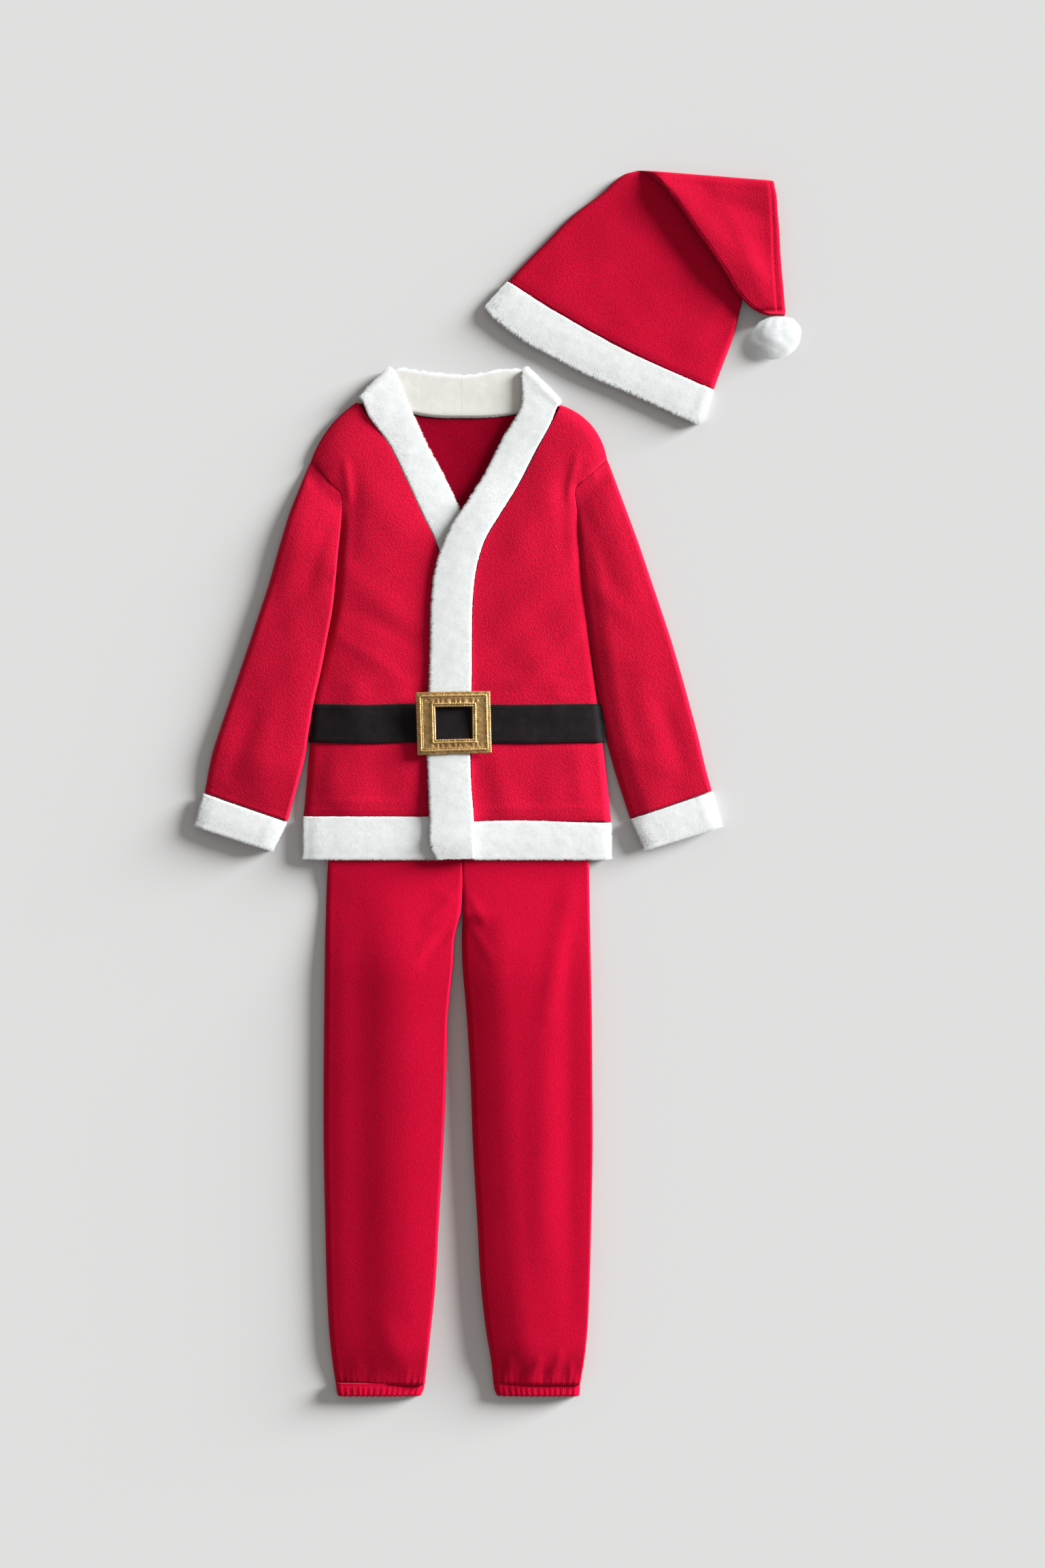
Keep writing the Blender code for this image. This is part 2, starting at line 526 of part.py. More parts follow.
def hem_bands():
    rim = HEM_BACK_FUR + SEAM_GAP
    soffit = stack_at(0).hidden_under
    for side, seam_x in (("left", 17.4), ("right", -18.4)):
        side_x = HEM_SIDE[side]
        rings = []
        for t, slump in ((0.0, 2.2), (0.1, 0.6), (0.35, 0.0), (0.65, 0.0), (0.9, 0.6), (1.0, 2.2)):
            y = mix(HEM_FOOT, HEM_TOP[side], t)
            crest = soffit - rim + FUR - slump
            seam_edge = crest + (4.0 if side == "left" else 0.0)
            rings.append(dome_ring((seam_x, y), (side_x, y), rim, crest, seam_edge, 0.0,
                                   roll_a=26.0, roll_b=FUR_ROLL, wall=FUR - slump, middle=4))
        loft("hem_band_front_" + side, rings, WHITE)


def band_front_rings(rows, hidden):
    rings = []
    for row in rows:
        stack = stack_at(0.5 * (row.seam_y + row.free_y))
        under = stack.hidden_under if hidden else stack.band_under
        thick = stack.hidden_thick if hidden else stack.band_thick
        seam_z = under if row.seam_z is None else row.seam_z
        free_z = under if row.free_z is None else row.free_z
        crown = 0.0 if hidden and row.seam_y < 340 else 0.6
        rings.append(strip_ring((row.seam_x, row.seam_y, seam_z), (row.free_x, row.free_y, free_z),
                                (0, 0, 1), thick - crown, crown))
    rings[0] = strip_ring(*[(x, y, z + 1.0) for x, y, z in (rings[0][0], rings[0][5])],
                          (0, 0, 1), 2.0)
    return rings


def neck_fold_rings(side):
    """Half a turn about the fold at the side of the neck, from the front of the band to its back."""
    free, seam = (Vector((x, y, 0)) for x, y in NECK_FOLD[side])
    along = (seam - free).normalized()
    outward = Vector((-along.y, along.x, 0))
    if outward.y < 0:
        outward.negate()
    rings = []
    for step in range(FOLD_STEPS + 1):
        angle = math.pi * (1.0 - step / FOLD_STEPS)
        up = outward * math.sin(angle) - Vector((0, 0, math.cos(angle)))
        thick = mix(NECK_THICK, FOLD_THICK, 1.0 - step / FOLD_STEPS)
        lift = Vector((0, 0, FOLD_AXIS_Z)) + up * FOLD_BORE
        rings.append(strip_ring(seam + lift, free + lift, up, thick))
    return rings


def fur_bands():
    """Each band runs up its front, turns over at the neck and ends at the centre-back seam."""
    for side, front, neck in (("left", BAND_LEFT, NECK_LEFT), ("right", BAND_RIGHT, NECK_RIGHT)):
        rings = band_front_rings(front, side == "right") + neck_fold_rings(side)
        for row in reversed(neck):
            rings.append(strip_ring((row.seam_x, row.seam_y, NECK_THICK),
                                    (row.free_x, row.free_y, NECK_THICK), (0, 0, -1), NECK_THICK))
        loft("front_band_" + side, rings, WHITE)


def band_top(y):
    stack = stack_at(y)
    return stack.band_under + stack.band_thick


def belt_ring(low, high):
    return strip_ring(low, high, (0, 0, 1), BELT_THICK)


def belts(lines):
    """The belt lies on the jacket fronts; its left half goes on across the fur band."""
    lower, upper = BELT_ROWS
    low_y, high_y = JACKET_LEFT[lower].side_y, JACKET_LEFT[upper].side_y
    lift = Vector((0, 0, BELT_LIFT))
    for side in ("left", "right"):
        pairs = list(zip(lines[side][lower], lines[side][upper]))
        pairs = [(Vector(p) + lift, Vector(q) + lift) for p, q in pairs][::-1][1:]
        if side == "right":
            pairs = [(p, q) for p, q in pairs if q.x < BELT_RIGHT_END - 3.0]
            end = [Vector((BELT_RIGHT_END, v.y, v.z + 0.2)) for v in pairs[-1]]
            pairs.append(tuple(end))
        else:
            pairs = [(p, q) for p, q in pairs if q.x > BELT_RISE_FROM]
            for x, drop in BELT_OVER_BAND:
                pairs.append(tuple(Vector((x, y, band_top(y) + BELT_LIFT - drop))
                                   for y in (low_y, high_y)))
        loft("belt_" + side, [belt_ring(p, q) for p, q in pairs], BLACK)


def buckle():
    """A thin pressed frame with a raised cord round its outside and its window."""
    outer = [Vector(p) for p in BUCKLE_CORNERS]
    inner = [Vector(p) for p in BUCKLE_WINDOW]
    rings = []
    for i in range(4):
        j = (i + 1) % 4
        for t in (0.0, 0.06, 0.25, 0.5, 0.75, 0.94):
            p = outer[i].lerp(outer[j], t)
            q = inner[i].lerp(inner[j], t)
            if t == 0.0:
                p = p.lerp(q, 0.04)
            ring = []
            for share, height in BUCKLE_SECTION:
                spot = p.lerp(q, share)
                ring.append((spot.x, spot.y, buckle_seat(spot.x, spot.y) + height))
            rings.append(ring)
    loft("buckle", rings, GOLD, closed=True)


def buckle_seat(x, y):
    """The buckle bends down a little past both edges of the band that it lies across."""
    past = max(0.0, abs(x + 9.0) - 20.0)
    return band_top(y) + BELT_LIFT + BELT_THICK + BUCKLE_LIFT - 0.075 * past


# ------------------------------------------------------------------ sleeves and cuffs

def sleeves():
    for side, rows, cuff in (("left", SLEEVE_LEFT, CUFF_LEFT), ("right", SLEEVE_RIGHT, CUFF_RIGHT)):
        name = "sleeve_" + side + "_top"
        rings = [dome_ring((row.in_x, row.in_y), (row.out_x, row.out_y), RIM, row.crest,
                           row.joined * (row.crest - 0.9), 0.0, panel=name,
                           crown=0.2 if row.crest < CREST else CROWN) for row in rows]
        loft(name, rings, RED)
        outline = [(row.in_x, row.in_y) for row in rows]
        outline += [(row.out_x, row.out_y) for row in reversed(rows)]
        plate("sleeve_" + side + "_under", outline, 0.0, CLOTH, RED)
        rings = [dome_ring((row.in_x, row.in_y), (row.out_x, row.out_y), CUFF_UNDER + SEAM_GAP,
                           row.crest, roll_a=FUR_ROLL, roll_b=FUR_ROLL,
                           wall=FUR - (9.0 - row.crest) * 0.5) for row in cuff]
        loft("cuff_" + side + "_top", rings, WHITE)
        rings = [strip_ring((row.in_x, row.in_y, 0.0), (row.out_x, row.out_y, 0.0), (0, 0, 1),
                            CUFF_UNDER) for row in cuff]
        loft("cuff_" + side + "_under", rings, WHITE)


# ------------------------------------------------------------------ trousers

def trousers():
    for side in ("left", "right"):
        front = []
        back = []
        name = "trouser_front_" + side
        for row in TROUSERS:
            edges = (row.left_in, row.left_out) if side == "left" else (row.right_out, row.right_in)
            a, b = ((x, row.y) for x in edges)
            crown = CROWN * clamp((row.crest - CLOTH) / 3.0)
            sewn = row.y > -60
            inner_edge = max(row.crest - 0.6, 2.2) if sewn else 0.0
            edge_a, edge_b = (inner_edge, 0.0) if side == "left" else (0.0, inner_edge)
            front.append(dome_ring(a, b, row.under + RIM, row.crest, edge_a, edge_b, middle=5,
                                   crown=crown, panel=name if row.y < -6 else None))
            back.append(strip_ring((*a, row.under), (*b, row.under), (0, 0, 1), CLOTH))
        loft(name, front, RED)
        loft("trouser_back_" + side, back, RED)
        casing(side)


def casing(side):
    """The ankle casing, gathered by its elastic: its front is pleated, its back lies flat."""
    top_a, top_b, foot_a, foot_b = CASINGS[side]
    front = []
    back = []
    for t, crest in ((0.0, 6.4), (0.25, 7.2), (0.75, 7.0), (1.0, 5.6)):
        y = mix(CASING_TOP, CASING_FOOT, t)
        a = (mix(top_a, foot_a, t * t), y)
        b = (mix(top_b, foot_b, t * t), y)
        front.append(dome_ring(a, b, CASING_WALL + SEAM_GAP, crest, wall=CASING_WALL, crown=0.4,
                               gathers=GATHERS))
        back.append(strip_ring((*a, 0.0), (*b, 0.0), (0, 0, 1), CASING_WALL))
    loft("hem_casing_" + side + "_front", front, RED)
    loft("hem_casing_" + side + "_back", back, RED)


def waistbands():
    for face, under in (("back", RIM), ("front", RIM + WAIST_WALL + SEAM_GAP)):
        rings = [strip_ring((x, WAIST_FOOT, under), (x, WAIST_TOP, under), (0, 0, 1), WAIST_WALL)
                 for x in (-WAIST_HALF, 0.0, WAIST_HALF)]
        loft("waistband_" + face, rings, RED)


# ------------------------------------------------------------------ hat

def hat_body():
    rings = [dome_ring((row.left_x, row.left_y), (row.right_x, row.right_y), RIM, CREST,
                       bow=row.bow, middle=5, panel="hat_front") for row in HAT_BODY]
    loft("hat_front", rings, RED)
    first = [point[:2] for point in rings[0][:len(rings[0]) // 2]]
    outline = first[1:-1]
    outline += [(row.right_x, row.right_y) for row in HAT_BODY]
    outline += [(row.left_x, row.left_y) for row in reversed(HAT_BODY)]
    plate("hat_back", outline, 0.0, CLOTH, RED)
    for face in ("back", "front"):
        rings = []
        for row in HAT_BAND:
            thick = row.back_thick if face == "back" else row.front_thick
            under = 0.0 if face == "back" else row.back_thick + SEAM_GAP
            crown = 0.0 if face == "back" else 0.6
            rings.append(strip_ring((row.low_x, row.low_y, under), (row.high_x, row.high_y, under),
                                    (0, 0, 1), thick - crown, crown))
        loft("hat_band_" + face, rings, WHITE)


def hat_edge_x(y):
    """The right edge of the hat's body at a height."""
    for low, high in zip(HAT_BODY, HAT_BODY[1:]):
        if y <= high.right_y:
            t = (y - low.right_y) / (high.right_y - low.right_y)
            return mix(low.right_x, high.right_x, t)
    return HAT_BODY[-1].right_x


def tip_under(x, y):
    past = x - hat_edge_x(y) - TIP_OVERHANG
    return TIP_ON_BODY * (1.0 - clamp(past / TIP_DROP))


def hat_tip():
    """The tip's two layers are one solid, with a groove between the layers along its edges."""
    rings = []
    for row in HAT_TIP:
        left = Vector((row.left_x, row.left_y))
        right = Vector((row.right_x, row.right_y))
        edge = hat_edge_x(right.y) + TIP_OVERHANG
        bend = clamp((edge - left.x) / (right.x - left.x), 0.3, 0.8)
        landed = clamp((edge + TIP_DROP - left.x) / (right.x - left.x), bend + 0.06, 0.9)
        shares = [0.0, 0.06 * bend, 0.33 * bend, 0.66 * bend, bend, landed, 0.97, 1.0]
        low = []
        high = []
        for share in shares:
            spot = left.lerp(right, share)
            under = tip_under(spot.x, spot.y) if row.under is None else row.under
            top = under + row.thick
            if row.under is not None:
                under = row.under
            rounding = 1.6 if share in (0.0, 1.0) else 0.0
            low.append((spot.x, spot.y, under + (0.8 if rounding else 0.0)))
            high.append((spot.x, spot.y, top - rounding))
        rings.append(low + high[::-1])
    loft("hat_tip", rings, RED)


def pompom():
    """A ball of fur, drawn in by shallow pleats where the tip is sewn into it."""
    bm = bmesh.new()
    bmesh.ops.create_uvsphere(bm, u_segments=POMPOM_PLEATS * 2, v_segments=12, radius=1.0)
    for vert in bm.verts:
        turn = math.atan2(vert.co.y, vert.co.x)
        pinch = POMPOM_PLEAT_DEPTH * (1.0 + math.cos(POMPOM_PLEATS * turn)) * 0.5
        ring = math.hypot(vert.co.x, vert.co.y)
        vert.co *= 1.0 - pinch * ring
        half = Vector(POMPOM_HALF)
        vert.co = Vector(POMPOM_CENTRE) + Vector([c * h for c, h in zip(vert.co, half)])
        vert.co.z = max(vert.co.z, 0.0)
    add_object("pompom", bm, WHITE)


# ------------------------------------------------------------------ the whole suit

def settle():
    """Put the origin at the middle of the underside."""
    corners = [vert.co for made in suit.objects for vert in made.data.vertices]
    low = [min(c[axis] for c in corners) for axis in range(3)]
    high = [max(c[axis] for c in corners) for axis in range(3)]
    shift = Vector((-(low[0] + high[0]) / 2, -(low[1] + high[1]) / 2, -low[2]))
    for made in suit.objects:
        for vert in made.data.vertices:
            vert.co += shift


for leftover in list(bpy.data.objects):
    bpy.data.objects.remove(leftover, do_unlink=True)
suit = bpy.data.collections.new("santa_suit")
bpy.context.scene.collection.children.link(suit)

jacket_back()
front_lines = jacket_fronts()
hem_bands()
fur_bands()
belts(front_lines)
buckle()
sleeves()
trousers()
waistbands()
hat_body()
hat_tip()
pompom()
settle()
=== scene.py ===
"""The looks of a child's santa suit laid out flat: red fleece, white plush trims, a felt belt with a
gold buckle, gathered trousers and a hat with its tip folded over.

Tables and lengths are in millimetres, measured from the centre front at the jacket's hem: +X is the
wearer's left, +Y is towards the head and +Z is up off the surface that the cloth lies on. Each piece
is moved onto the frame as its mesh is written.
"""
import math
from collections import namedtuple

import bmesh
import bpy
import numpy as np
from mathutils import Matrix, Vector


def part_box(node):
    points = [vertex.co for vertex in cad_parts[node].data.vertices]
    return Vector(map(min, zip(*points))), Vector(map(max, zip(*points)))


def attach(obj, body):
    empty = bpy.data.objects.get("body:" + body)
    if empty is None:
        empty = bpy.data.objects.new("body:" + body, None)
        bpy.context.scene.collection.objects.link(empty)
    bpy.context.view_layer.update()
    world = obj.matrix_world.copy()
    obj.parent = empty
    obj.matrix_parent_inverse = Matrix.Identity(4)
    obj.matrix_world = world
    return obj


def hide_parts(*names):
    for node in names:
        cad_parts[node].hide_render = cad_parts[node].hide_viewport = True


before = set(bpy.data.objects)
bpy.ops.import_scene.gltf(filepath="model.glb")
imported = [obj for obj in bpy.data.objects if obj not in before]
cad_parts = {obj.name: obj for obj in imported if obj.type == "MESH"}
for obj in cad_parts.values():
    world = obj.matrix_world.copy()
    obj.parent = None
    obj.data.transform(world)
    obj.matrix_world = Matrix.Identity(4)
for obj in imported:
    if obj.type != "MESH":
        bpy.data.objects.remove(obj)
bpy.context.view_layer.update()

MM = 0.001
SIDES = ("left", "right")
CLOTH = 2.6            # wall of the brushed fleece
RIM = 2.9              # where a front panel's rim stands on its back panel
CREST = 5.9            # a front panel's height above its rim
CROWN = 1.8            # extra thickness in the middle of a front panel
LOFT = {"leg": 12.0, "left": 3.2, "right": 7.0}     # air between the layers of a leg and each sleeve
NECK_THICK = 5.5       # thickness of a front band behind the neck
BAND_END_THICK = 2.6   # and at the hem
BELT_THICK = 1.6
BELT_LIFT = 0.5        # air under the belt
VALLEY = {"left": 1.6, "right": 4.2}               # how deep each armhole's valley is
SHOULDER = {"left": 11.2, "right": 6.6}            # how much fuller a shoulder is than a straight line
HEM_FOOT = 1.0         # where the hem bands end: below, above and at the sides
HEM_TOP = {"left": 41.0, "right": 46.6}
HEM_SIDE = {"left": 167.6, "right": -171.0}

hem_low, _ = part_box("hem_band_back")
SHIFT = np.array([hem_low.x / MM - HEM_SIDE["right"], hem_low.y / MM - HEM_FOOT, 0.0])


def named(kind, table):
    """A table's rows with their columns named, and so for each list of a table of several."""
    if isinstance(table, dict):
        return {name: named(kind, rows) for name, rows in table.items()}
    return [kind(*row) for row in table]


# Both edges of a jacket front, from the hem to the shoulder: the seam to the fur band, and the
# side, armhole and sleeve cap. joined is 1 where the side is sewn to the sleeve, 0 where it is free.
FrontRow = namedtuple("FrontRow", "seam_x seam_y side_x side_y joined drop")
JACKET = named(FrontRow, {
    "left": [
        (17.2, 40.4, 167.6, 40.4, 0, 0), (13.9, 84, 163.9, 84, 0, 0), (13.1, 127.5, 159.4, 127.5, 0, 0),
        (13.9, 170.2, 154.1, 170.2, 0, 0), (14.6, 207.8, 148.9, 207.8, 0, 0),
        (14.6, 245.2, 143.6, 245.2, 0.5, 0), (15.4, 282.8, 139.9, 279, 1, 0),
        (18.4, 312.8, 136.1, 311.2, 1, 0), (28.9, 350.2, 133.1, 346.5, 1, 0),
        (46.1, 379.5, 130.1, 378, 1, 0), (68.6, 416.2, 127.9, 408, 1, 0),
        (88.1, 453.8, 138, 417.3, 1, 0), (102.4, 480.4, 148.3, 426.8, 1, 0.6),
        (108.4, 492, 157.1, 435, 0.6, 1.6), (112.1, 499.5, 163.1, 440.2, 0, 3.3),
    ],
    "right": [
        (-18.4, 45.9, -170.6, 45.9, 0, 0), (-17.6, 84, -167.6, 84, 0, 0),
        (-16.9, 127.5, -163.9, 127.5, 0, 0), (-16.9, 170.2, -160.1, 170.2, 0, 0),
        (-16.1, 207.8, -151.9, 207.8, 0, 0), (-16.1, 245.2, -145.6, 241.5, 0.5, 0),
        (-16.1, 279, -139.9, 271.5, 1, 0), (-16.9, 309, -136.1, 305, 1, 0),
        (-23.6, 344.2, -133.1, 339, 1, 0), (-40.1, 378.8, -130.1, 369, 1, 0),
        (-58.1, 417.8, -128.6, 399.8, 1, 0), (-77.6, 456.8, -138, 410.6, 1, 0),
        (-99.4, 486, -148, 422.2, 1, 0.6), (-107.6, 496.5, -156, 431.4, 0.6, 1.6),
        (-112.1, 502.5, -162.4, 438.8, 0, 3.3),
    ],
})
BELT_ROWS = (2, 3)     # the jacket rows that the belt's two edges follow
BELT_READS = 8         # how many of the rows, from the hem up, it needs for its ends

# How the layers stack at the centre front, by height up the jacket: a front panel's crest and its
# seam edge above the rim, then the underside and thickness of the hidden and the visible fur band.
Stack = namedtuple("Stack", "y crest seam_edge hidden_under hidden_thick band_under band_thick")
STACK = named(Stack, [
    (0, 9.8, 13.2, 10.1, 6.0, 16.4, 6.0), (47, 9.8, 13.2, 10.1, 6.0, 16.4, 6.0),
    (62, 9.8, 12.0, 10.1, 4.5, 14.9, 6.5), (120, 9.8, 12.0, 10.1, 4.5, 14.9, 5.4),
    (185, 5.9, 7.4, 2.9, 5.5, 9.1, 6.2), (340, 5.9, 6.6, 2.9, 5.8, 9.1, 6.6),
    (380, 5.9, 5.9, 2.9, 6.5, 9.1, 6.6), (600, 5.9, 5.9, 2.9, 6.5, 2.9, 6.6),
])

# A fur band in front, from the hem to the fold at the side of the neck: its seam edge, its free
# edge, and the height of each edge's underside, where that isn't the stack's.
BandRow = namedtuple("BandRow", "seam_x seam_y free_x free_y seam_z free_z", defaults=(None, None))
BAND = named(BandRow, {
    "left": [
        (17, 1.2, -21.5, 0.4), (16.8, 12, -28.1, 12), (16.7, 41.2, -29.6, 41.2), (13.5, 84, -31.1, 84),
        (12.7, 127.5, -32.6, 127.5), (13.5, 170.2, -31.1, 170.2), (14.2, 207.8, -30, 207.8),
        (14.2, 245.2, -29.2, 245.2), (15, 282.8, -28.1, 282.8), (18, 312.8, -25.1, 312.8),
        (28.5, 350.4, -10.9, 356.2, 9.5, 9.5), (45.7, 379.8, 10.1, 390, 7.4, 9.5),
        (68.2, 416.5, 31.1, 423.8, 3.4, 5.6), (87.7, 454.2, 50.6, 462.8, 3.2, 4.8),
        (101.8, 481, 71, 499.5, 4.6, 6.3),
    ],
    "right": [
        (-18, 1.2, 12.4, 0.8), (-18, 47.2, 12.4, 47.2), (-17.2, 84, 12.4, 84),
        (-16.5, 127.5, 12.4, 127.5), (-16.5, 170.2, 12.6, 170.2), (-15.7, 207.8, 13.2, 207.8),
        (-15.7, 245.2, 13.2, 245.2), (-15.7, 279, 13.6, 279), (-16.5, 309, 15, 309),
        (-23.2, 344.4, 16.9, 350.2, 2.9, 2.9), (-39.7, 379, 2.6, 378.8, 2.9, 2.9),
        (-57.7, 418, -18.4, 421.5, 3.2, 3.2), (-77.2, 457.1, -39.4, 461.2, 3.4, 4.8),
        (-98.9, 486.4, -55.5, 497, 5.6, 6.6),
    ],
})

# The strip behind the neck, from the centre-back seam to the fold: its seam edge and its free edge.
NeckRow = namedtuple("NeckRow", "seam_x seam_y free_x free_y")
NECK = named(NeckRow, {
    "left": [
        (3.45, 485.6, 3.45, 531.8), (22.9, 485.6, 22.9, 534), (41.6, 486.8, 40.6, 537.6),
        (65.6, 490.5, 56, 539), (90.4, 496.5, 66, 538.6),
    ],
    "right": [
        (3.35, 485.6, 3.35, 531.8), (-14.6, 485.6, -14.6, 533.2), (-37.1, 487.5, -37.1, 535.9),
        (-55.9, 491.2, -52, 538.5), (-82.1, 498, -65, 539.6),
    ],
})
NECK_FOLD = {"left": ((71.7, 537.1), (109.9, 499.5)), "right": ((-73.3, 537.1), (-107.0, 504.1))}
FOLD_AXIS_Z = 5.9      # the height of the line that a band turns over round,
FOLD_BORE = 0.4        # how far from it the band stays,
FOLD_THICK = 5.9       # how thick it is there and in how many steps it turns
FOLD_STEPS = 6

# A sleeve from the cap seam to the cuff: its inner edge, then its outer edge.
SleeveRow = namedtuple("SleeveRow", "in_x in_y out_x out_y joined crest")
SLEEVE = named(SleeveRow, {
    "left": [
        (128.6, 407.2, 163.7, 439.4, 1, 4.6), (130.6, 378, 174, 412, 1, CREST),
        (133.6, 346.5, 186, 380, 1, CREST), (136.6, 311.2, 198.5, 346, 1, CREST),
        (140.4, 279, 209.5, 313.5, 1, CREST), (144.1, 245.2, 220.5, 281, 0.5, CREST),
        (149.4, 207.8, 232.5, 245, 0, CREST), (155, 170.2, 245, 203, 0, CREST),
        (161, 137, 255.5, 165, 0, CREST), (167, 113.5, 264, 133, 0, CREST),
        (173.5, 91, 270, 107, 0, CREST), (188.6, 44.3, 278.6, 75, 0, CREST),
    ],
    "right": [
        (-129.4, 399, -163, 438, 1, 4.6), (-130.6, 369, -174, 412, 1, CREST),
        (-133.6, 339, -186, 382, 1, CREST), (-136.6, 305, -198, 343, 1, CREST),
        (-140.4, 271.5, -209.5, 302, 1, CREST), (-146.1, 241.5, -220, 270, 0.5, CREST),
        (-152.5, 207.8, -231, 237, 0, CREST), (-161, 170.2, -242.5, 203, 0, CREST),
        (-165, 140, -252, 175, 0, CREST), (-168.5, 113.5, -262, 146, 0, CREST),
        (-176, 85, -271, 118, 0, CREST), (-188.6, 41.3, -280.1, 73, 0, CREST),
    ],
})
# A cuff from the sleeve to its free end: its inner edge, then its outer edge.
CuffRow = namedtuple("CuffRow", "in_x in_y out_x out_y")
CUFF = named(CuffRow, {
    "left": [
        (188.9, 43.4, 279.4, 74.2), (191, 37, 281.6, 67.5), (196.3, 26.5, 285.6, 55.5),
        (201.3, 16, 288.8, 43.5), (203.8, 10.8, 289.3, 37.2),
    ],
    "right": [
        (-188.9, 40.4, -281, 72), (-191, 34, -283.4, 65), (-196.3, 24.5, -286.8, 53.5),
        (-201.5, 15, -289.4, 43), (-204, 10.2, -289.9, 37.6),
    ],
})

# The trousers from under the waistband to above the ankle casings: the height up the garment, the
# outer and inner edge of each leg, the underside of the back panel and the front panel's crest.
LegRow = namedtuple("LegRow", "y right_out right_in left_in left_out under crest")
TROUSERS = named(LegRow, [
    (91.7, -127, 3.9, 4.3, 127, 2.9, 2.6), (70, -133, 3.9, 4.3, 133, 2.9, 2.6),
    (50, -137, 3.9, 4.3, 137, 4.3, 2.6), (22, -141, 3.9, 4.3, 140.6, 4.3, 2.6),
    (-6, -143.8, 3.9, 4.3, 143.2, 4.3, 2.6), (-32, -145.6, 3.9, 4.3, 143.8, 0, 6.8),
    (-58, -146.3, 2.4, 4.4, 144.2, 0, 6.2), (-87, -147.2, -4.4, 3.4, 144.8, 0, CREST),
    (-111, -147.6, -5.7, 3.8, 145.2, 0, CREST), (-170, -148.3, -11.7, 8.4, 146.5, 0, CREST),
    (-240, -148.9, -13.7, 12.7, 147, 0, CREST), (-313.5, -148.9, -16.9, 15.4, 147.4, 0, CREST),
    (-400, -147.2, -22, 20.3, 145.8, 0, CREST), (-478.5, -145.1, -26.6, 25.1, 143.6, 0, CREST),
    (-520, -142.8, -31, 30, 141.5, 0, CREST), (-555, -139, -34.8, 35.8, 137.6, 0, 6.4),
    (-577.4, -135.6, -37.4, 38, 133.7, 0, 6.6),
])
# An ankle casing's two ends, above and then below; its height and how many gathers go across it.
CASINGS = {"right": (-135.4, -37.6, -133.4, -42.0), "left": (38.2, 133.6, 42.0, 132.6)}
CASING_TOP = -576.4
CASING_FOOT = -590.6
GATHERS = 15
WAIST_FOOT = 92.0      # where the waistband ends: below, above and at the sides
WAIST_TOP = 118.0
WAIST_HALF = 126.0

# The hat's body, from its fur band to the fold: its left and right edges, and how far the row bows
# towards the band.
HatRow = namedtuple("HatRow", "left_x left_y right_x right_y bow")
HAT_BODY = named(HatRow, [
    (53, 634.9, 280.4, 515.6, -6.5), (73.1, 656.2, 286.1, 531.8, -6), (93.4, 676.5, 292.1, 547.5, -5),
    (124.1, 707.2, 303.4, 578.2, -4), (155.6, 731.2, 312.4, 615, -2), (171.4, 746, 325.1, 667.5, 0),
    (182.2, 753.6, 335.6, 705, 0), (192.4, 756.6, 346.1, 738.1, 0),
])
# Its fur band along its free and its sewn edge, and how thick its two layers are.
HatBandRow = namedtuple("HatBandRow", "low_x low_y high_x high_y back_thick front_thick")
HAT_BAND = named(HatBandRow, [
    (29.6, 609, 53.2, 635.1, 4, 4), (34.5, 601, 59.6, 631.4, 5, 6.6), (46, 590.5, 72, 623.4, 5, 7.5),
    (75, 569.5, 100, 606.1, 5, 7.5), (103.1, 554.3, 126.3, 590.9, 5, 7.5),
    (138.4, 535.5, 162, 571.1, 5, 7.5), (186.4, 514.5, 205, 549.5, 5, 7.5),
    (222.4, 498, 241.9, 532.7, 5, 7.5), (250, 485.6, 266, 522, 5, 7.5),
    (264.5, 480.2, 276.5, 517.9, 5, 6.6), (270.5, 482, 280.6, 516.1, 4, 4),
])
# The folded-over tip: both edges of each row, the height of its underside, its thickness and how
# far in from the right edge its seam runs.
TipRow = namedtuple("TipRow", "left_x left_y right_x right_y under thick seam")
HAT_TIP = named(TipRow, [
    (194.5, 757.2, 346.6, 745.4, 1, 9, 5), (198, 755.8, 347.2, 743.6, 0, 13.6, 6),
    (207.5, 751.2, 347.5, 739.4, 2.6, 13.6, 6.6), (220.4, 742, 349.5, 729, 8, 9.4, 7),
    (234.4, 725.2, 350.8, 711, 10.4, 7, 7.4), (246.4, 708.8, 352, 696, 10.4, 7, 7.8),
    (258.4, 690.8, 353, 680, 10.4, 7, 8.4), (272.6, 671.2, 353.8, 663, 10.4, 7, 8.8),
    (289.1, 647.2, 355.4, 642, 10.4, 6.8, 9.2), (307, 619.5, 357.6, 617, 9, 8.2, 9.6),
    (324, 603.5, 358.4, 605.5, 6.4, 10.4, 9.4), (332, 600, 358.9, 601.4, 3, 13, 9),
    (339, 596.9, 358, 597, 8, 13.5, 7),
])

# The pompom, with its hairs.
POMPOM_CENTRE = (347.8, 572.2, 22.0)
POMPOM_HALF = (26.8, 24.2, 23.0)
POMPOM_PLEATS = 13
POMPOM_FUR = 5.6       # how far its hairs reach past its ball
POMPOM_LEAN = 3.0      # how far its top leans towards the tip
POMPOM_FOOT = 0.72     # how broad the foot inside it is, as a share of its breadth
POMPOM_FOOT_Z = 6.5

BUCKLE_CORNERS = [(-47.0, 182.8), (34.6, 184.4), (36.4, 116.6), (-45.0, 114.0)]
BUCKLE_WINDOW = [(-25.4, 166.6), (14.8, 167.0), (15.2, 132.3), (-24.4, 131.3)]
BUCKLE_TAB = [(-19.5, 157.0), (8.0, 157.2), (8.4, 140.6), (-19.0, 140.2)]

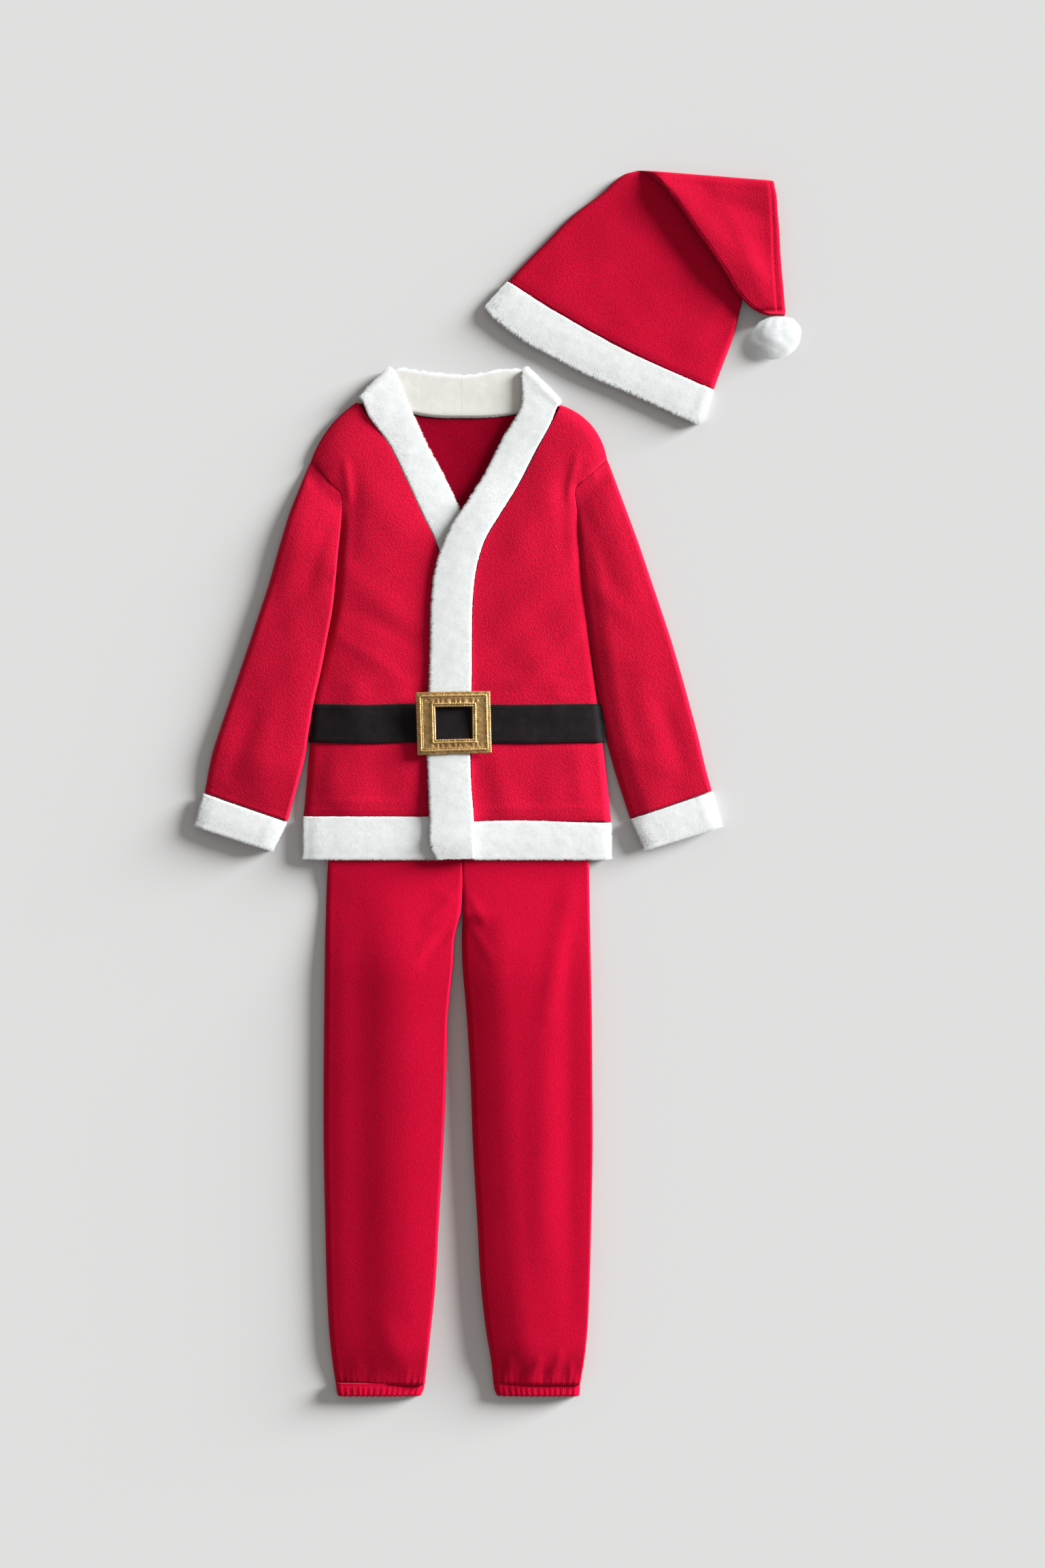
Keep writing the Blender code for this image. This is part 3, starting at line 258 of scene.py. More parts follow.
# Folds and creases: the line that each runs along, its half width and its lift, which is negative
# for a trough.
Fold = namedtuple("Fold", "x0 y0 x1 y1 half lift")
FOLDS = named(Fold, {
    "front_left": [
        (124, 440, 121, 395, 5, 1.3), (113, 430, 116, 330, 9, -1.1), (100, 400, 60, 340, 16, 1.3),
        (128, 330, 40, 255, 15, 1.5), (120, 285, 30, 215, 13, -1.2), (140, 260, 70, 190, 9, 1),
        (36, 120, 52, 55, 13, 1.2), (88, 118, 80, 58, 16, -1), (128, 122, 134, 58, 12, 1.2),
        (60, 200, 66, 176, 14, 1), (112, 196, 108, 176, 14, 1.1), (22, 55.5, 164, 55.5, 3.2, 0.7),
    ],
    "front_right": [
        (-122, 436, -120, 392, 5, 1.3), (-112, 430, -118, 330, 9, -1.1), (-98, 410, -62, 350, 16, 1.2),
        (-126, 320, -60, 262, 15, 1.5), (-132, 280, -40, 235, 12, -1.2), (-140, 250, -70, 205, 9, 1),
        (-46, 120, -60, 66, 14, 1.1), (-92, 118, -86, 66, 15, -1), (-134, 122, -142, 66, 12, 1.2),
        (-60, 200, -64, 176, 14, 1), (-116, 196, -112, 176, 14, 1.1), (-166, 64, -40, 62, 3.2, 0.6),
    ],
    "sleeve_left": [
        (160, 410, 196, 280, 12, 1.2), (142, 380, 168, 300, 8, -1), (146, 300, 190, 262, 10, 0.9),
        (160, 236, 214, 196, 16, 0.7), (196, 190, 226, 100, 13, 1), (222, 170, 250, 96, 9, -0.8),
        (180, 120, 236, 96, 12, 0.8),
    ],
    "sleeve_right": [
        (-162, 412, -194, 290, 12, 1.2), (-142, 372, -166, 300, 8, -1), (-146, 296, -190, 258, 10, 0.9),
        (-160, 232, -214, 192, 16, 0.7), (-198, 186, -228, 96, 13, 1), (-222, 160, -252, 92, 9, -0.8),
        (-180, 116, -240, 92, 12, 0.8),
    ],
    "leg_right": [
        (-106, -60, -104, -540, 18, -1.7), (-128, -90, -130, -520, 9, 0.3),
        (-52, -90, -46, -520, 26, 1), (-6, -40, -36, -74, 6, 1.1), (-10, -62, -44, -100, 5, 0.9),
        (-14, -84, -40, -118, 5, -0.8), (-30, -30, -8, -44, 4, 0.7), (-122, -574, -108, -552, 4.5, 0.8),
        (-104, -574, -96, -560, 3.4, -0.7), (-88, -500, -54, -568, 13, 0.9),
        (-62, -574, -54, -560, 3, 0.7),
    ],
    "leg_left": [
        (128, -8, 96, -170, 12, 1.9), (96, -170, 92, -430, 15, 1.5), (120, -60, 122, -500, 12, -1.1),
        (50, -120, 66, -520, 20, -1.3), (12, -40, 30, -74, 6, 1), (12, -70, 36, -110, 6, 0.8),
        (50, -574, 58, -550, 4.5, 1.2), (62, -574, 72, -556, 3.6, -1), (76, -574, 90, -546, 4.5, 1.2),
        (92, -574, 96, -558, 3.4, -0.9), (102, -574, 112, -540, 5, 1.1), (124, -574, 122, -552, 4, 0.8),
    ],
    "hat": [
        (110, 660, 250, 590, 30, 1.2), (200, 735, 268, 640, 18, -1.2), (150, 700, 230, 640, 20, 0.9),
        (250, 560, 300, 620, 12, 1),
    ],
    "tip": [
        (215, 744, 330, 640, 13, 1.1), (260, 738, 340, 700, 10, -0.8), (300, 700, 345, 620, 9, 0.7),
    ],
})


# ------------------------------------------------------------------ reading the tables

def quarter(q):
    """A quarter round: 0 at the edge, 1 once it has levelled out."""
    return np.sqrt(1.0 - (1.0 - np.clip(q, 0.0, 1.0)) ** 2)


def ease(q):
    """Rises smoothly from 0 to 1 as q does."""
    q = np.clip(q, 0.0, 1.0)
    return q * q * (3.0 - 2.0 * q)


def bell(q):
    """1 where q is 0, and fading out on both sides of it."""
    return np.exp(-q ** 2)


def smooth(at, stations, values):
    """A smooth line through values at their stations, read at the places in at."""
    stations = np.asarray(stations, float)
    values = np.asarray(values, float)
    slope = np.gradient(values, stations)
    i = np.clip(np.searchsorted(stations, at, side="right") - 1, 0, len(stations) - 2)
    step = stations[i + 1] - stations[i]
    t = np.clip((at - stations[i]) / step, 0.0, 1.0)
    rise = ease(t)
    return (values[i] * (1.0 - rise) + values[i + 1] * rise
            + step * t * (1.0 - t) * ((1.0 - t) * slope[i] - t * slope[i + 1]))


def read(rows, v, path=None):
    """The columns of a table whose rows begin with two edge points, at the fraction v along a
    path, which runs between the edges unless it is given."""
    table = np.array(rows, float)
    if path is None:
        path = (table[:, 0:2] + table[:, 2:4]) / 2.0
    steps = np.maximum(np.linalg.norm(np.diff(path, axis=0), axis=1), 0.5)
    stations = np.concatenate([[0.0], np.cumsum(steps)])
    return [smooth(v * stations[-1], stations, column) for column in table.T]


def stack(y, column):
    """A column of the stack's table at a height up the jacket."""
    return np.interp(y, [row.y for row in STACK], [getattr(row, column) for row in STACK])


def spread(u, share=0.5):
    """Places across a panel, closer together towards its two edges."""
    return (1.0 - share) * u + share * 0.5 * (1.0 - np.cos(np.pi * u))


def line_distance(x, y, x0, y0, x1, y1):
    """How far points are from a line between two places, and how far along it they lie."""
    dx, dy = x1 - x0, y1 - y0
    t = ((x - x0) * dx + (y - y0) * dy) / (dx * dx + dy * dy)
    inside = np.clip(t, 0.0, 1.0)
    return np.hypot(x - x0 - dx * inside, y - y0 - dy * inside), t


FOLD_SHARE = 0.7       # how much of its lift in the table a fold has
FOLD_FADE = 0.25       # how far past its ends a fold fades out, as a share of its length


def folds_at(panel, x, y):
    """How much the folds of a panel lift it."""
    lift = np.zeros_like(x)
    for fold in FOLDS[panel]:
        away, t = line_distance(x, y, *fold[:4])
        fade = ease(np.minimum(t + FOLD_FADE, 1.0 + FOLD_FADE - t) / (2.0 * FOLD_FADE))
        lift += FOLD_SHARE * fold.lift * fade * bell(away / fold.half)
    return lift


RIPPLE_WAVES = 7


def ripple(x, y, size, seed):
    """Soft unevenness between about -1 and 1, with bumps about a given size."""
    rng = np.random.default_rng(seed)
    total = np.zeros_like(x)
    for _ in range(RIPPLE_WAVES):
        turn = rng.uniform(0.0, 2.0 * math.pi)
        pitch = 2.0 * math.pi / (size * rng.uniform(0.7, 1.8))
        total += np.sin((x * math.cos(turn) + y * math.sin(turn)) * pitch
                        + rng.uniform(0.0, 2.0 * math.pi))
    return total / (0.5 * RIPPLE_WAVES)


# ------------------------------------------------------------------ materials

class Recipe:
    """A material made from nodes that read the cloth's own coordinates."""

    def __init__(self, name, colour, roughness):
        self.made = bpy.data.materials.new(name)
        self.made.use_nodes = True
        self.tree = self.made.node_tree
        self.shader = self.tree.nodes["Principled BSDF"]
        self.set(self.shader, {"Base Color": (*colour, 1.0), "Roughness": roughness})
        self.made.diffuse_color = (*colour, 1.0)
        self.place = self.tree.nodes.new("ShaderNodeTexCoord").outputs["Object"]
        self.bumped = None

    def set(self, node, values):
        for name, value in values.items():
            if isinstance(value, bpy.types.NodeSocket):
                self.tree.links.new(value, node.inputs[name])
            else:
                node.inputs[name].default_value = value

    def node(self, kind, values=None, **settings):
        made = self.tree.nodes.new("ShaderNode" + kind)
        for name, value in settings.items():
            setattr(made, name, value)
        self.set(made, values or {})
        return made

    def noise(self, scale, detail, rough):
        return self.node("TexNoise", {"Vector": self.place, "Scale": scale,
                                      "Detail": detail, "Roughness": rough}).outputs["Fac"]

    def range(self, value, low, high, out_low=0.0, out_high=1.0):
        return self.node("MapRange", {"Value": value, "From Min": low, "From Max": high,
                                      "To Min": out_low, "To Max": out_high}).outputs["Result"]

    def math(self, operation, a, b):
        return self.node("Math", {0: a, 1: b}, operation=operation).outputs[0]

    def tint(self, fac, low, high):
        """A colour between two, by a value from 0 to 1."""
        made = self.node("Mix", {"Factor": fac}, data_type="RGBA")
        for socket, colour in ((6, low), (7, high)):
            if isinstance(colour, bpy.types.NodeSocket):
                self.tree.links.new(colour, made.inputs[socket])
            else:
                made.inputs[socket].default_value = (*colour, 1.0)
        return made.outputs[2]

    def muted(self, colour, share):
        """The colour as it is, but dimmer in the light that it throws on what lies beside it."""
        thrown = self.node("LightPath").outputs["Is Diffuse Ray"]
        return self.tint(self.math("MULTIPLY", thrown, share), colour, (0.0, 0.0, 0.0))

    def bump(self, height, distance, strength):
        values = {"Height": height, "Distance": distance, "Strength": strength}
        if self.bumped:
            values["Normal"] = self.bumped
        self.bumped = self.node("Bump", values).outputs["Normal"]
        self.set(self.shader, {"Normal": self.bumped})


def fleece(name, colour, deep, pebble, grain, sheen=0.3):
    """Brushed polyester fleece: pebbled nap over fine fibres, with a bright dusty sheen, and painted
    shade darkening the pebbles' gaps.
    """
    made = Recipe(name, colour, 0.92)
    cells = made.node("TexVoronoi", {"Vector": made.place, "Scale": grain, "Smoothness": 0.35,
                                     "Randomness": 1.0}, feature="SMOOTH_F1")
    tops = made.range(cells.outputs["Distance"], 0.62, 0.12)
    fibres = made.noise(2600.0, 3.0, 0.65)
    clumps = made.noise(420.0, 3.0, 0.6)
    broad = made.noise(22.0, 3.0, 0.5)
    height = made.math("ADD", made.math("MULTIPLY", tops, 0.6), made.math("MULTIPLY", clumps, 0.9))
    # painted shade: the pebbles' gaps are coloured darker and their tops lighter, mixed with a broad
    # random tone
    painted_shade_and_tone = made.range(made.math("ADD", height, made.math("MULTIPLY", broad, 0.5)), 0.45, 1.25)
    base = made.tint(painted_shade_and_tone, deep, colour)
    made.set(made.shader, {"Base Color": made.muted(base, 0.75), "Sheen Weight": sheen,
                           "Sheen Roughness": 0.4, "Sheen Tint": (1.0, 0.22, 0.3, 1.0),
                           "Specular IOR Level": 0.4 * sheen})
    made.bump(height, 0.0011, pebble)
    made.bump(fibres, 0.0004, 0.45)
    return made.made


def plush(name, colour, deep, clump=150.0):
    """White plush pile, with soft tonal clumps."""
    made = Recipe(name, colour, 0.85)
    mottled = made.noise(clump, 4.0, 0.6)
    fine = made.noise(1500.0, 3.0, 0.6)
    base = made.tint(made.range(mottled, 0.3, 0.62), deep, colour)
    made.set(made.shader, {"Base Color": made.muted(base, 0.6), "Sheen Weight": 0.2,
                           "Sheen Roughness": 0.5, "Specular IOR Level": 0.2})
    made.bump(mottled, 0.0008, 0.3)
    made.bump(fine, 0.0004, 0.12)
    return made.made


def felt(name, colour, pale):
    """Matt felt, with short matted fibres."""
    made = Recipe(name, colour, 0.9)
    broad = made.noise(60.0, 4.0, 0.6)
    fibres = made.noise(1800.0, 4.0, 0.7)
    base = made.tint(made.range(made.math("ADD", broad, fibres), 0.8, 1.3), colour, pale)
    made.set(made.shader, {"Base Color": base, "Sheen Weight": 0.04, "Sheen Roughness": 0.5,
                           "Specular IOR Level": 0.08})
    made.bump(fibres, 0.0004, 0.7)
    made.bump(broad, 0.002, 0.4)
    return made.made


def lame(name, colour, deep):
    """Gold foil cloth, pressed with fine diagonal ribs."""
    made = Recipe(name, colour, 0.3)
    turned = made.node("Mapping", {"Vector": made.place, "Rotation": (0.0, 0.0, math.radians(52))})
    ribs = made.node("TexWave", {"Vector": turned.outputs[0], "Scale": 165.0, "Distortion": 0.6,
                                 "Detail": 1.0, "Detail Scale": 2.0}, bands_direction="X")
    dents = made.noise(190.0, 3.0, 0.6)
    flecks = made.noise(900.0, 2.0, 0.6)
    base = made.tint(made.range(dents, 0.35, 0.65), deep, colour)
    made.set(made.shader, {"Base Color": base, "Metallic": 0.6,
                           "Roughness": made.range(flecks, 0.3, 0.7, 0.22, 0.4)})
    made.bump(ribs.outputs["Fac"], 0.0006, 0.6)
    made.bump(dents, 0.0016, 0.55)
    return made.made


def thread(name, colour):
    """Twisted thread, and the cut edge of felt."""
    made = Recipe(name, colour, 0.75)
    twist = made.noise(2400.0, 2.0, 0.5)
    made.set(made.shader, {"Base Color": made.tint(twist, [c * 0.6 for c in colour], colour)})
    made.bump(twist, 0.0003, 0.6)
    return made.made


def surface(name, colour):
    """What the suit lies on."""
    made = Recipe(name, colour, 0.95)
    made.set(made.shader, {"Specular IOR Level": 0.0})
    return made.made


RED = fleece("red_fleece", (0.72, 0.0044, 0.044), (0.52, 0.0016, 0.026), 0.27, 540.0)
RED_SMOOTH = fleece("red_fleece_smooth", (0.64, 0.0034, 0.037), (0.53, 0.0018, 0.027), 0.14, 560.0,
                    0.14)
# painted shade: the tip's fleece is made darker than the hat's, against the light that its raised slope
# catches
RED_TIP_PAINTED_SHADE = fleece("red_fleece_tip_painted_shade", (0.60, 0.0032, 0.036), (0.44, 0.0012, 0.021), 0.24, 640.0, 0.2)
# painted light: the hat's body gets a lighter copy of the fleece that its back and tip are made of
RED_HAT_PAINTED_LIGHT = fleece("red_fleece_hat_painted_light", (0.71, 0.0040, 0.042), (0.52, 0.0015, 0.025), 0.24, 640.0, 0.2)
# painted shade: the same fleece made darker, for the shaded inside of the jacket's back
RED_INSIDE_PAINTED_SHADE = fleece("red_fleece_inside_painted_shade", (0.37, 0.0022, 0.022), (0.26, 0.0008, 0.013), 0.2, 620.0, 0.06)
RED_NAP = fleece("red_nap", (0.72, 0.008, 0.050), (0.52, 0.003, 0.030), 0.2, 500.0)
WHITE = plush("white_plush", (0.84, 0.86, 0.86), (0.78, 0.805, 0.805))
WHITE_PILE = plush("white_pile", (0.865, 0.885, 0.885), (0.785, 0.81, 0.81), 60.0)
CREAM = plush("plush_back", (0.80, 0.79, 0.74), (0.74, 0.73, 0.68), 60.0)
BLACK = felt("belt_felt", (0.010, 0.0075, 0.0085), (0.019, 0.015, 0.017))
GOLD = lame("buckle_gold", (0.70, 0.44, 0.18), (0.42, 0.25, 0.09))
GOLD_CORD = lame("gold_cord", (0.86, 0.60, 0.26), (0.66, 0.42, 0.16))
RED_THREAD = thread("red_thread", (0.56, 0.005, 0.033))
BLACK_THREAD = thread("black_thread", (0.006, 0.005, 0.006))
FELT_EDGE = thread("felt_edge", (0.030, 0.024, 0.026))
TABLE = surface("pale_surface", (0.72, 0.72, 0.72))


# ------------------------------------------------------------------ cloth, pile and stitches

surfaces = {}          # each piece's grid of points and how long its pile is at each
shown = {}             # the meshes by name


def link(name, data):
    """Add an object with this data to the scene."""
    made = bpy.data.objects.new(name, data)
    bpy.context.scene.collection.objects.link(made)
    return made


def weld_and_face_out(mesh, weld):
    """Join a closed section's two ends, and for "ends" fill its open ends too; then turn the faces
    so that the highest ones look up."""
    bm = bmesh.new()
    bm.from_mesh(mesh)
    if weld:
        bmesh.ops.remove_doubles(bm, verts=bm.verts, dist=1e-6)
        if weld == "ends":
            rims = [edge for edge in bm.edges if edge.is_boundary]
            for edge in rims:
                edge.smooth = False
            bmesh.ops.holes_fill(bm, edges=rims)
        bmesh.ops.recalc_face_normals(bm, faces=bm.faces)
    by_height = sorted(bm.faces, key=lambda face: face.calc_center_median().z)
    top = by_height[-max(8, len(by_height) // 20):]
    if sum(face.normal.z * face.calc_area() for face in top) < 0.0:
        bmesh.ops.reverse_faces(bm, faces=bm.faces)
    for face in bm.faces:
        face.smooth = True
    bm.to_mesh(mesh)
    bm.free()


def cloth(name, across, along, place, finish, wall=0.0, weld=None):
    """A fine grid whose points are moved to their places on the piece, in millimetres. place may
    say as well how long the pile is there, from 0 to 1. weld closes a section: "seam" or "ends"."""
    bm = bmesh.new()
    bmesh.ops.create_grid(bm, x_segments=across, y_segments=along, size=0.5)
    mesh = bpy.data.meshes.new(name)
    bm.to_mesh(mesh)
    bm.free()
    flat = np.empty(len(mesh.vertices) * 3)
    mesh.vertices.foreach_get("co", flat)
    u, v = flat[0::3] + 0.5, flat[1::3] + 0.5
    x, y, z, *pile = place(u, v)
    points = np.stack([x, y, z], axis=1)
    mesh.vertices.foreach_set("co", ((points + SHIFT) * MM).ravel())
    cell = (np.rint(v * along).astype(int), np.rint(u * across).astype(int))
    grid = np.empty((along + 1, across + 1, 3))
    grid[cell] = points
    length = np.ones((along + 1, across + 1))
    if pile:
        length[cell] = pile[0]
    surfaces[name] = (grid, length)
    weld_and_face_out(mesh, weld)
    mesh.materials.append(finish)
    made = link(name + "_sewn", mesh)
    if wall:
        shell = made.modifiers.new("wall", "SOLIDIFY")
        shell.thickness = wall * MM
        shell.offset = -1.0
    shown[name] = made
    return made


def join_triangles(name, corners, finish, facing=None):
    """One mesh from an array of separate triangles, shaded by facing where it is given."""
    mesh = bpy.data.meshes.new(name)
    count = len(corners)
    mesh.vertices.add(count * 3)
    mesh.vertices.foreach_set("co", ((corners + SHIFT) * MM).ravel())
    mesh.loops.add(count * 3)
    mesh.loops.foreach_set("vertex_index", np.arange(count * 3, dtype=np.int32))
    mesh.polygons.add(count)
    mesh.polygons.foreach_set("loop_start", np.arange(0, count * 3, 3, dtype=np.int32))
    mesh.update(calc_edges=True)
    if facing is not None:
        mesh.normals_split_custom_set_from_vertices(np.repeat(facing, 3, axis=0).astype(np.float32))
    mesh.materials.append(finish)
    shown[name] = link(name, mesh)
    return shown[name]


def unit(vectors):
    """The same directions, at a length of 1."""
    return vectors / np.maximum(np.linalg.norm(vectors, axis=-1, keepdims=True), 1e-9)


HAIRS_SHARE = 1.0
HAIRS_UP = -0.35       # hairs stand on the faces that look up at least this much
ROOT_LIFT = 0.2        # how far above its cloth's grid a hair begins
CLUMP_SIZE = 9.0
CLUMP_TURN = 2.2       # how far clumps turn their hairs, in radians
CLUMP_SHARE = 0.35     # how much they turn the comb
LEAST_OUT = 0.08       # how far out of the cloth every hair leans
LOWEST = 0.1           # no hair reaches below this


def pile(name, pieces, count, length, width, comb, finish, seed, lean=0.8, wild=0.3,
         least_up=HAIRS_UP, soft=0.0, flat=0.9):
    """Short hairs standing out of pieces of cloth, joined into one mesh. comb says how they lean
    across and along the pieces, lean how much and wild how unevenly. They are shaded as their
    cloth is, or more evenly where they are soft, and there flat presses them down as well."""
    rng = np.random.default_rng(seed)
    cells = []
    for grid, long in (surfaces[piece] for piece in pieces):
        mid = (grid[1:, 1:] + grid[1:, :-1] + grid[:-1, 1:] + grid[:-1, :-1]) / 4.0
        side_u = (grid[1:, 1:] + grid[:-1, 1:] - grid[1:, :-1] - grid[:-1, :-1]) / 2.0
        side_v = (grid[1:, 1:] + grid[1:, :-1] - grid[:-1, 1:] - grid[:-1, :-1]) / 2.0
        up = np.cross(side_u, side_v)
        area = np.linalg.norm(up, axis=-1)
        top = mid[..., 2].max() - 0.3 * np.ptp(mid[..., 2])
        if (up[..., 2] * (mid[..., 2] > top)).sum() < 0.0:
            up = -up
        out = unit(up)
        share = (long[1:, 1:] + long[:-1, :-1]) / 2.0
        weight = area * np.sqrt(np.clip(share, 0.0, 1.0)) * (out[..., 2] > least_up)
        cells.append([a.reshape(-1, a.shape[-1]) for a in (mid, side_u, side_v, out)]
                     + [share.ravel(), weight.ravel()])
    mid, side_u, side_v, out, share, weight = [np.concatenate(part) for part in zip(*cells)]
    count = int(count * HAIRS_SHARE)
    chosen = rng.choice(len(weight), size=count, p=weight / weight.sum())
    a, b = rng.uniform(-0.5, 0.5, (2, count, 1))
    mid, side_u, side_v, out, share = (part[chosen] for part in (mid, side_u, side_v, out, share))
    root = mid + a * side_u + b * side_v + ROOT_LIFT * out
    clump = CLUMP_TURN * ripple(root[:, 0], root[:, 1], CLUMP_SIZE, seed + 1)
    swirl = np.stack([np.cos(clump), np.sin(clump), np.zeros_like(clump)], axis=-1)
    loose = unit(comb[0] * unit(side_u) + comb[1] * unit(side_v) + CLUMP_SHARE * swirl
                 + wild * rng.normal(size=(count, 3)))
    heading = unit(loose * lean + out * rng.uniform(0.5, 1.5, (count, 1)) * (1.0 - lean))
    heading = unit(heading + out * np.maximum(LEAST_OUT - (heading * out).sum(-1, keepdims=True), 0.0))
    reach = rng.uniform(0.6, 1.15, count) * length * between(0.25, 1.0, np.clip(share, 0.0, 1.0))
    even = unit(out + np.array([0.0, 0.0, soft]) * np.clip(2.0 * out[:, 2:] + 1.0, 0.0, 1.0))
    if soft:
        heading = unit(heading - flat * even * (heading * even).sum(-1, keepdims=True))
    side = unit(np.cross(heading, even)) * width * rng.uniform(0.35, 0.65, (count, 1))
    tip = root + heading * reach[:, None]
    tip[:, 2] = np.maximum(tip[:, 2], LOWEST)
    stray = 0.25 if soft else 0.5
    facing = unit(even + stray * (0.10 * heading + 0.06 * rng.normal(size=(count, 3))))
    corners = np.stack([root - side, root + side, tip], axis=1)
    join_triangles(name, corners, finish, facing).visible_shadow = False


# ------------------------------------------------------------------ shapes shared by the pieces

# The shape of an edge: how far in its roll goes, how much of the height the roll takes, and how far
# in the slope goes that takes the rest.
Edge = namedtuple("Edge", "roll share slope")
OUTWARD = {"left": 1.0, "right": -1.0}
TOP_SHARE = 0.64       # of a strip's or a tube's points, how many lie on its upper side
JOINT = 1e-6           # how near the end of a closed section counts as its start


def shoulder(away, edge, width):
    """How much of its height cloth has reached at a distance from its edge."""
    q = np.clip(away / edge.slope, 0.0, 1.0)
    slope = 1.25 * q - 1.5625 * np.maximum(q - 0.6, 0.0) ** 2
    return edge.share * quarter(away / np.minimum(edge.roll, 0.45 * width)) + (1.0 - edge.share) * slope


def hump(t):
    """0 at both ends and 1 in the middle."""
    return 4.0 * t * (1.0 - t)


def dome(s, width, crest, edge_a, edge_b, low_a=0.0, low_b=0.0, crown=0.0):
    """The height of a front panel above its rim, s across from edge a, where low_a and low_b are
    the heights of its two edges."""
    rise_a = low_a + (crest - low_a) * shoulder(s, edge_a, width)
    rise_b = low_b + (crest - low_b) * shoulder(width - s, edge_b, width)
    return rise_a + rise_b - crest + crown * hump(s / width)


def edges(side, inner, outer, tight):
    """A piece's inner and outer edge: the one on the wearer's left is the tight one."""
    return (inner, tight) if side == "left" else (tight, outer)


def between(a, b, t):
    return a + (b - a) * t


def within(s, width, rim):
    """0 at a panel's two edges and 1 from a rim's width in."""
    return quarter(np.minimum(s, width - s) / rim)


def around(u):
    """Split a closed section: which points are on its upper side, and their places across it."""
    closing = u > 1.0 - JOINT
    top = (u <= TOP_SHARE + JOINT) | closing
    t = np.where(closing, 0.0, np.where(top, u / TOP_SHARE, (1.0 - u) / (1.0 - TOP_SHARE)))
    return top, np.clip(t, 0.0, 1.0)


# A fur strip's profile: how high it stands at its free and its sewn edge and how much it swells over
# its whole width, as shares of its thickness; then how broad its rolls and its thinned edge are.
STRIP_FREE = 0.36
STRIP_SEWN = 0.62
STRIP_SWELL = 0.14
STRIP_ROLL = 2.0
STRIP_UNDER_ROLL = 2.5
STRIP_THINNED = 9.0
STRIP_LUMP_SIZE = 21.0 # how broad its lumps are


def strip(name, across, along, sewn, free, thick, up=None, lump=0.15, thin=0.0):
    """A fur strip from its sewn to its free edge, with rounded sides and closed ends. Its pile is
    short along the sewn edge, and there is none underneath. lump is how uneven its top is, and
    thin is how much of its thickness is gone at its free edge."""
    up = np.tile([0.0, 0.0, 1.0], (len(sewn), 1)) if up is None else up
    deep = np.reshape(thick, (-1, 1))
    rows = np.concatenate([sewn, free, up, deep], axis=1)
    path = (sewn + free) / 2.0 + up * deep

    def place(u, v):
        ax, ay, az, bx, by, bz, ux, uy, uz, deep = read(rows, v, path)
        top, t = around(u)
        t = spread(t, 0.7)
        start = np.stack([ax, ay, az], axis=-1)
        side = np.stack([bx, by, bz], axis=-1) - start
        width = np.linalg.norm(side, axis=-1)
        s = t * width
        near = np.minimum(s, width - s)
        curve = quarter(near / STRIP_ROLL)
        broad = 1.0 - (1.0 - near / (0.5 * width)) ** 2
        base = between(STRIP_FREE, STRIP_SEWN, ease((1.0 - t) * 1.5 - 0.25))
        above = between(base, 1.0 - STRIP_SWELL, curve) + STRIP_SWELL * broad
        height = deep * np.where(top, above, base * (1.0 - quarter(near / STRIP_UNDER_ROLL)))
        height *= 1.0 - thin * bell((width - s) / STRIP_THINNED)
        spot = start + side * t[:, None]
        uneven = lump * curve * ripple(spot[:, 0], spot[:, 1], STRIP_LUMP_SIZE, 5)
        height += np.where(top, uneven, 0.0)
        x, y, z = (spot + unit(np.stack([ux, uy, uz], axis=-1)) * height[:, None]).T
        long = 0.08 + 0.37 * ease(s / 5.0) + 0.55 * (1.0 - ease((width - s) / 6.0))
        return x, y, z, np.where(top, long, np.where(width - s < 2.0, 0.8, 0.0))

    return cloth(name, across, along, place, WHITE, weld="ends")


# ------------------------------------------------------------------ jacket

FRONT_SEAM = Edge(26.0, 1.0, 30.0)                 # a front's edge at the fur band
FRONT_SIDE = {"left": Edge(8.0, 0.9, 30.0), "right": Edge(9.0, 0.42, 60.0)}
SLEEVE_OVERLAP = 0.45  # how far a front and a sleeve reach over their seam
BELT_Y = 149.0         # the height of the belt's middle
BELT_PRESS = 0.8       # how deep the belt presses the fronts in
HEM_SEAM_Y = {"left": 41.5, "right": 47.5}
FUR_THICK = 6.0        # thickness of the fur bands at the hem and the cuffs
HEM_BED = 4.3          # how high the hem's front bands lie
HEM_CREST = 11.8       # how far their tops rise above that
HEM_PRESS = 1.2        # how deep the seam to the hem band draws a front in
FULL_TO = (0.76, 0.65) # which way a shoulder is fuller: outward and up
BELT_CENTRE_X = -9.0   # where the left half of the belt lies highest on the fur band
BELT_FLAT = 20.0       # how far it lies flat either side of that
BELT_FALL = 0.075      # how steeply it falls after that


def front_height(side, s, width, x, y, joined, drop, level):
    """How high a jacket front lies, s across from the fur band."""
    crest = stack(level, "crest") - drop
    seam_edge = (stack(level, "seam_edge") - drop) if side == "left" else crest
    z = RIM + dome(s, width, crest, FRONT_SEAM, FRONT_SIDE[side], seam_edge, joined * (crest - 0.9),
                   CROWN * np.clip(1.0 - drop / 3.3, 0.0, 1.0))
    inside = within(s, width, 10.0)
    z += (folds_at("front_" + side, x, y) + 0.3 * ripple(x, y, 60.0, 11)) * inside
    z -= BELT_PRESS * bell((y - BELT_Y) / 26.0) * inside
    z -= VALLEY[side] * joined * ease((398.0 - y) / 45.0) * bell((width - s) / 6.5)
    z -= HEM_PRESS * bell((y - HEM_SEAM_Y[side]) / 3.0)
    return z


